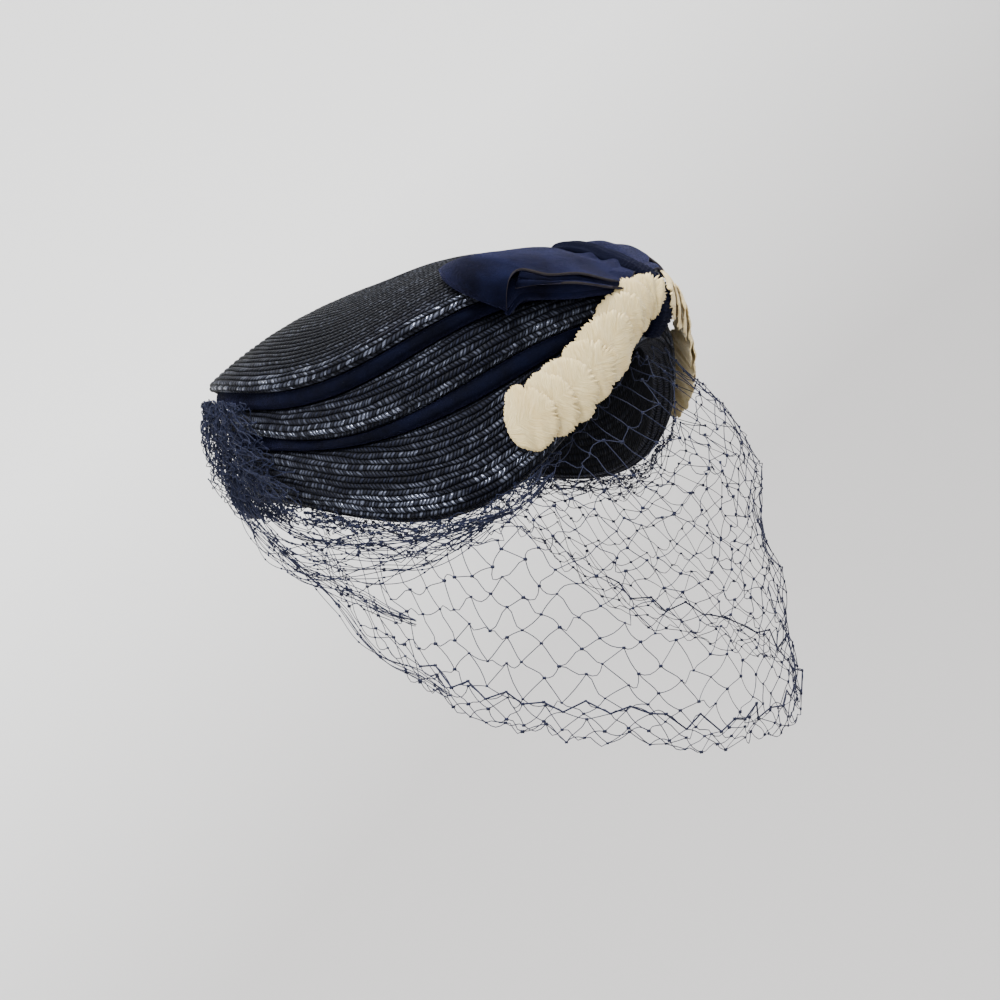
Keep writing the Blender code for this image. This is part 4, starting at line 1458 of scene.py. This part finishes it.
def hang_row(row):
    """Knots of one row: their places and normals, which of them are kept, and their angles."""
    column = np.arange(net_columns) + 0.5 * (row % 2)
    angle = angle_at(np.clip((column + 0.25) / net_columns, 0.0, 1.0))
    height = np.full(net_columns, height_above_hem(row))
    sway = NET_SWAY * ripple(angle * 6.0 + row * 0.03, 21) * np.clip(height / 0.08, 0.2, 1.0)
    angle = angle + sway
    height = height + NET_WOBBLE * 1.5 * ripple(angle * 11.0 + row * 0.35, 5 + (row < 0))
    height = np.maximum(height, LEAST_HEIGHT)
    out = NET_WOBBLE * ripple(angle * 9.0 + row * 0.5, 8) + (HEM_STAND if row < 0 else 0.0)
    over = height - veil_fall(angle)[0] + RIM_BUNCH * bunched(angle)
    bunch = np.clip((over + RIM_BUNCH) / 0.03, 0.0, 1.0) * bunched(angle)
    kept = over <= np.interp(np.abs(np.degrees(angle)), BUNCHED_FROM, KEPT_PAST_RIM)
    scatter = np.random.default_rng(100 + row).normal(0.0, 1.0, (net_columns, 3))
    end = math.radians(VEIL_END + VEIL_MARGIN)
    place = veil_place(np.clip(angle, -end, end), hang(angle, height), out)
    place = place + scatter * (NET_SCATTER + BUNCH_SCATTER * bunch)[:, None]
    return place, plan_outwards(angle), kept, angle


net_rows = list(range(-HEM_ROWS, NET_ROWS + 1))
net_knots = {row: hang_row(row) for row in net_rows}
print("rows of knots:", len(net_rows))


# %% Which knots a thread joins, and how shapes are joined
def lattice_links(rows, count):
    """Pairs of neighbouring knots: each knot joins the two nearest in the row above."""
    links = []
    for row in rows[:-1]:
        shift = 0 if row % 2 == 0 else 1
        for column in range(count):
            for other in (column - 1 + shift, column + shift):
                if 0 <= other < count:
                    links.append((row, column, row + 1, other))
    return links


def thread_ends(table, links):
    """Start and end of every thread in a table of knots, and the normals there."""
    starts = np.array([table[a][0][i] for a, i, b, j in links])
    ends = np.array([table[b][0][j] for a, i, b, j in links])
    start_normals = np.array([table[a][1][i] for a, i, b, j in links])
    end_normals = np.array([table[b][1][j] for a, i, b, j in links])
    return starts, ends, start_normals, end_normals


def join_shapes(shapes):
    """Several points and lists of faces as one; a face may have any number of corners."""
    points, faces, first = [], [], 0
    for own_points, own_faces in shapes:
        points.append(own_points)
        faces += [tuple(corner + first for corner in face) for face in own_faces]
        first += len(own_points)
    return np.concatenate(points), faces


# %% The veil's threads and knots
links = []
for a, i, b, j in lattice_links(net_rows, net_columns):
    if net_knots[a][2][i] and net_knots[b][2][j]:
        links.append((a, i, b, j))
starts, ends, start_normals, end_normals = thread_ends(net_knots, links)
link_normals = unit(start_normals + end_normals)
curves = slack_curves(starts, ends, link_normals, THREAD_LENGTH, 4)
thread_points, thread_faces = tubes(curves, link_normals, THREAD_RADIUS)
knot_centres = np.concatenate([net_knots[row][0][net_knots[row][2]] for row in net_rows])
knot_normals = np.concatenate([net_knots[row][1][net_knots[row][2]] for row in net_rows])
level = np.cross(knot_normals, np.array([0.0, 0.0, 1.0]))
sizes = KNOT_SIZE * np.random.default_rng(6).uniform(0.75, 1.25, len(knot_centres))
lump_points, lump_faces = knots(knot_centres, level, knot_normals, sizes)
print("net:", len(links), "threads,", len(knot_centres), "knots,", net_columns, "columns")

# %% The net's material and piece
DARK_THREAD = (0.003, 0.004, 0.013, 1.0)
BRIGHT_THREAD = (0.009, 0.013, 0.040, 1.0)


def make_thread():
    """Matt dyed thread, a little uneven in tone."""
    material, wires, shader = new_material("navy net thread")
    tone = wires.noise(wires.coordinates("Object"), 700.0, 2.0)
    wires.set(shader.inputs["Base Color"], wires.mix(tone, DARK_THREAD, BRIGHT_THREAD))
    shader.inputs["Roughness"].default_value = 0.6
    shader.inputs["Specular IOR Level"].default_value = 0.2
    return material


thread = make_thread()
net_points, net_faces = join_shapes([(thread_points, thread_faces.tolist()), (lump_points, lump_faces)])
veil = make_piece("net_veil", net_points, net_faces, thread)
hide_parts("veil")

# %% The zigzag selvage along the folded hem
SELVAGE_RADIUS = 0.00034
SELVAGE_REACH = math.radians(79)
hem_angles = net_knots[-HEM_ROWS][3]
selvage = [link for link in links if link[0] == -HEM_ROWS and abs(hem_angles[link[1]]) < SELVAGE_REACH]
starts, ends, start_normals, _ = thread_ends(net_knots, selvage)
selvage_normals = unit(start_normals)
selvage_curves = slack_curves(starts, ends, selvage_normals, 0.0, 9, steps=3, most=0.0002, sag=0.0)
selvage_points, selvage_faces = tubes(selvage_curves, selvage_normals, SELVAGE_RADIUS, 5)
hem = make_piece("net_selvage", selvage_points, selvage_faces, thread)
print("selvage:", count_triangles(hem), "triangles")

# %% [markdown]
# ## The bunched net at the back
#
# The strip is much longer than the rim, and its two ends are drawn up behind the hat and caught there in
# a dense cloud of overlapping cells. From it four bundles of threads run forwards on the side that is
# seen: one hugs the rim, a wide loose web lies under it, and two swing lower and open out into the veil
# and along its hem. The cloud is the same net hung much closer than its threads are long, in four layers
# that fold in and out; each bundle is a number of threads that wander round one path.

# %% Net layers gathered behind the crown
GATHER_START = 113
GATHER_LAYERS = 4
GATHER_COLUMNS = 34
GATHER_ROWS = 17
GATHER_STAND = 0.0100
GATHER_SLANT = 11
GATHER_BASE = 0.0016
COLUMN_SCATTER = 0.30
ROW_SCATTER = 0.022
DEPTH_SCATTER = 0.10
# heights from the rim to the top edge, and how full the cloud is there
GATHER_PROFILE = ((0.0, 0.22, 0.5, 0.78, 1.0), (0.35, 0.95, 1.0, 0.75, 0.25))


def gather_places(share, height, depth):
    """Places and normals in the cloud: share runs round the back, height from the rim to the top tier."""
    first = GATHER_START + GATHER_SLANT * (height - 0.5)
    angle = np.radians(first + share * (360 - 2 * first))
    low = line_points("rim", angle, 0.0, -0.0055)
    high = line_points("top_edge", angle, 0.0, -0.0035)
    place = worn(low + (high - low) * height[..., None])
    stand = GATHER_STAND * np.interp(height, *GATHER_PROFILE) * depth
    return place + plan_outwards(angle) * (GATHER_BASE + stand)[..., None], plan_outwards(angle)


def gather_layer(layer):
    """Knots of one layer, crowded and folded, as a table of rows."""
    chance = np.random.default_rng(500 + layer)
    table = {}
    for row in range(GATHER_ROWS):
        column = np.arange(GATHER_COLUMNS) + 0.5 * (row % 2)
        share = (column + chance.normal(0.0, COLUMN_SCATTER, GATHER_COLUMNS)) / GATHER_COLUMNS
        # both ends of the cloud are ragged
        ragged = 0.04 * (np.abs(share - 0.5) > 0.45)
        share = share + (chance.random(GATHER_COLUMNS) - 0.5) * ragged
        height = row / (GATHER_ROWS - 1) + chance.normal(0.0, ROW_SCATTER, GATHER_COLUMNS)
        # the outer layers hang a little lower at the far end
        height = np.clip(height * (1.0 - 0.10 * layer * (share < 0.12)), 0.0, 1.0)
        fold_wave = ripple(share * 30.0 + 3.0 * height, 90 + layer, waves=4, lowest=0.6, highest=2.0)
        depth = (layer + 0.5 + 0.5 * fold_wave) / GATHER_LAYERS
        depth = np.clip(depth + chance.normal(0.0, DEPTH_SCATTER, GATHER_COLUMNS), 0.02, 1.35)
        table[row] = gather_places(share, height, depth)
    return table


# %% The cloud as one piece
def net_from(tables, count, thread_length, seed, most):
    """Threads and knots of several tables of rows, as one set of points and faces."""
    shapes = []
    for number, table in enumerate(tables):
        start, end, normal, _ = thread_ends(table, lattice_links(sorted(table), count))
        normal = unit(normal)
        curve = slack_curves(start, end, normal, thread_length, seed + number, most=most, sag=0.15)
        tube_points, tube_faces = tubes(curve, normal, 1.05 * THREAD_RADIUS)
        centres = np.concatenate([table[row][0] for row in sorted(table)])
        normals = np.concatenate([table[row][1] for row in sorted(table)])
        sizes = KNOT_SIZE * np.random.default_rng(seed + number).uniform(0.6, 1.0, len(centres))
        level = np.cross(normals, (0.0, 0.0, 1.0))
        shapes.append((tube_points, tube_faces.tolist()))
        shapes.append(knots(centres, level, normals, sizes, 4, 2))
    return join_shapes(shapes)


layers = [gather_layer(layer) for layer in range(GATHER_LAYERS)]
cloud_points, cloud_faces = net_from(layers, GATHER_COLUMNS, THREAD_LENGTH, 60, 0.0040)
cloud = make_piece("bunched_net", cloud_points, cloud_faces, thread)
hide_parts("veil_gather")
print("bunched net:", count_triangles(cloud), "triangles")

# %% Rolled bundles that run forwards from the cloud
# each bundle: its name, number of threads, spread in millimetres, and the points of its path
# each point: angle round the hat, how far below the rim and how far out, in millimetres
BUNDLES = (
    ("low", 10, 2.3, (
        (-152, -30, 8), (-146, -14, 10), (-136, 0, 9), (-126, 9, 8), (-118, 16, 7),
        (-110, 22, 6), (-103, 23, 5), (-93, 27, 7), (-86, 32, 9), (-79, 36, 12),
    )),
    ("web", 14, 4.8, (
        (-140, -10, 7), (-133, -2, 7), (-126, 5, 6), (-119, 11, 5), (-112, 15, 5),
        (-104, 17, 4), (-95, 16, 4), (-84, 12, 4), (-73, 8, 3), (-62, 7, 3),
    )),
    ("rim", 9, 1.7, (
        (-124, 3, 4), (-116, 7, 4), (-108, 9, 3), (-100, 9, 2), (-90, 7, 2),
        (-78, 6, 2), (-66, 6, 3), (-55, 8, 4), (-46, 6, 4),
    )),
    ("hem", 6, 1.8, (
        (-120, 12, 7), (-112, 20, 6), (-105, 26, 6), (-98, 33, 7),
        (-91, 43, 9.5), (-85, 50, 12), (-78, 55.5, 13), (-71, 64.5, 17),
    )),
)
STEPS_PER_POINT = 8


def bundle_threads(count, spread, path, seed):
    """Threads that wander round one path: their centre lines, and the way out along the path."""
    chance = np.random.default_rng(seed)
    rows = np.array(path, float)
    steps = STEPS_PER_POINT * len(rows)
    line = smooth_rows(rows, np.linspace(0.0, len(rows) - 1, steps))
    angle = np.radians(line[:, 0])
    away = plan_outwards(angle)
    middle = worn(line_points("rim", angle)) + away * (line[:, 2:3] / 1000.0)
    middle[:, 2] -= line[:, 1] / 1000.0
    along = along_line(middle)
    lines = []
    for number in range(count):
        own_seed = seed * 10 + number * 3
        sideways = ripple(along * 55.0, own_seed, waves=3, lowest=0.8, highest=2.2)
        outwards = ripple(along * 55.0, own_seed + 1, waves=3, lowest=0.8, highest=2.2)
        centre = chance.normal(0.0, 0.55, 2)
        taper = 0.35 + 0.65 * np.sin(np.pi * np.clip(along / along[-1], 0.0, 1.0)) ** 0.5
        side = np.array([0.0, 0.0, 1.0]) * ((centre[0] + sideways) * taper * spread / 1000.0)[:, None]
        out = away * (np.abs(centre[1] + outwards) * 0.6 * spread / 1000.0)[:, None]
        lines.append(middle + side + out)
    return np.array(lines), away


bundle_shapes = []
for name, count, spread, path in BUNDLES:
    lines, away = bundle_threads(count, spread, path, 7 + len(path))
    normal = np.repeat(away.mean(0, keepdims=True), count, axis=0)
    tube_points, tube_faces = tubes(lines, unit(normal), THREAD_RADIUS * 0.95)
    spots = lines[:, 2::STEPS_PER_POINT].reshape(-1, 3)
    spot_normals = np.tile(away[2::STEPS_PER_POINT], (count, 1))
    along = np.gradient(lines, axis=1)[:, 2::STEPS_PER_POINT].reshape(-1, 3)
    bundle_shapes.append((tube_points, tube_faces.tolist()))
    bundle_shapes.append(knots(spots, along, spot_normals, np.full(len(spots), 0.75 * KNOT_SIZE)))
    print("bundle", name, "has", count, "threads")
bundle_points, bundle_faces = join_shapes(bundle_shapes)
bundles = make_piece("net_bundles", bundle_points, bundle_faces, thread)
print("bundles:", count_triangles(bundles), "triangles")

# %% [markdown]
# ## The studio
#
# A pale floor, a strong light from the upper left and a softer one straight above light the hat the way
# the photograph does: gently, with small clear glints on the straw. Weak lights from the right and from
# the far side and a plain bright surround keep the shadows open.

# %% Floor and backdrop
FLOOR_HEIGHT = -0.900
FLOOR_NEAR = -3.0
FLOOR_FAR = 1.0
SWEEP = 1.2
HALF_SPAN = 4.0
WALL_HEIGHT = 4.5
DIM_PAPER = (0.56, 0.545, 0.535, 1.0)
LIT_PAPER = (1.0, 0.995, 0.98, 1.0)


def make_backdrop():
    """A floor that sweeps up behind the hat in one curve."""
    steps = 24
    away = -(view_axes(CAMERA_AZIMUTH, 0.0)[0])
    aside_axis = Vector((-away.y, away.x, 0.0))
    profile = []
    for i in range(steps + 1):
        share = i / steps
        if share < 0.5:
            profile.append((FLOOR_NEAR + share * 2.0 * (FLOOR_FAR - FLOOR_NEAR), 0.0))
        else:
            turn = (share - 0.5) * math.pi
            profile.append((FLOOR_FAR + SWEEP * math.sin(turn), SWEEP * (1.0 - math.cos(turn))))
    profile.append((FLOOR_FAR + SWEEP, WALL_HEIGHT))
    points = []
    for out, rise in profile:
        for side in (-HALF_SPAN, HALF_SPAN):
            points.append(away * out + aside_axis * side + Vector((0.0, 0.0, FLOOR_HEIGHT + rise)))
    faces = [(2 * i, 2 * i + 1, 2 * i + 3, 2 * i + 2) for i in range(steps + 1)]
    material, wires, shader = new_material("warm grey paper with painted falloff")
    x, y, z = wires.split(wires.coordinates("Object"))
    # painted light: the paper's colour falls off from its lit upper left to its right and lower edges
    leftwards = wires.math("MULTIPLY_ADD", x, -right.x, wires.math("MULTIPLY", y, -right.y))
    lit = wires.math("MULTIPLY_ADD", z, 1.2, leftwards)
    shade = wires.remap(lit, -0.75, 0.15)
    wires.set(shader.inputs["Base Color"], wires.mix(shade, DIM_PAPER, LIT_PAPER))
    shader.inputs["Roughness"].default_value = 0.9
    mesh = bpy.data.meshes.new("backdrop")
    mesh.from_pydata(points, [], faces)
    mesh.shade_smooth()
    mesh.materials.append(material)
    backdrop = bpy.data.objects.new("backdrop", mesh)
    bpy.context.scene.collection.objects.link(backdrop)


# %% Soft lights and a bright surround
def add_softbox(name, azimuth, elevation, distance, size, power, colour):
    """A square area light that faces the hat."""
    data = bpy.data.lights.new(name, "AREA")
    data.size = size
    data.energy = power
    data.color = colour
    lamp = bpy.data.objects.new(name, data)
    direction = view_axes(math.radians(azimuth), math.radians(elevation))[0]
    lamp.location = PLAN_CENTRE + direction * distance
    lamp.rotation_euler = (-direction).to_track_quat("-Z", "Y").to_euler()
    bpy.context.scene.collection.objects.link(lamp)


def make_surround():
    """A room that is bright above and to the left and dim below, so that the gloss has contrast."""
    world = bpy.data.worlds.new("studio")
    world.use_nodes = True
    wires = Wiring(world.node_tree)
    background = world.node_tree.nodes["Background"]
    x, y, z = wires.split(wires.coordinates("Generated"))
    bright = view_axes(math.radians(-95), math.radians(60))[0]
    facing = wires.math("MULTIPLY", x, bright.x)
    facing = wires.math("MULTIPLY_ADD", y, bright.y, facing)
    facing = wires.math("MULTIPLY_ADD", z, bright.z, facing)
    background.inputs["Color"].default_value = (0.96, 0.975, 1.0, 1.0)
    wires.set(background.inputs["Strength"], wires.remap(facing, -0.3, 0.9, 0.22, 1.9))
    return world


make_backdrop()
add_softbox("key light", -105, 55, 1.5, 0.45, 46.0, (1.0, 0.985, 0.96))
add_softbox("fill light", -5, 30, 1.8, 1.2, 9.0, (0.96, 0.98, 1.0))
add_softbox("top light", -60, 85, 1.6, 1.0, 24.0, (1.0, 1.0, 1.0))
add_softbox("far fill light", 55, 25, 1.6, 1.0, 9.0, (1.0, 0.99, 0.97))
bpy.context.scene.world = make_surround()
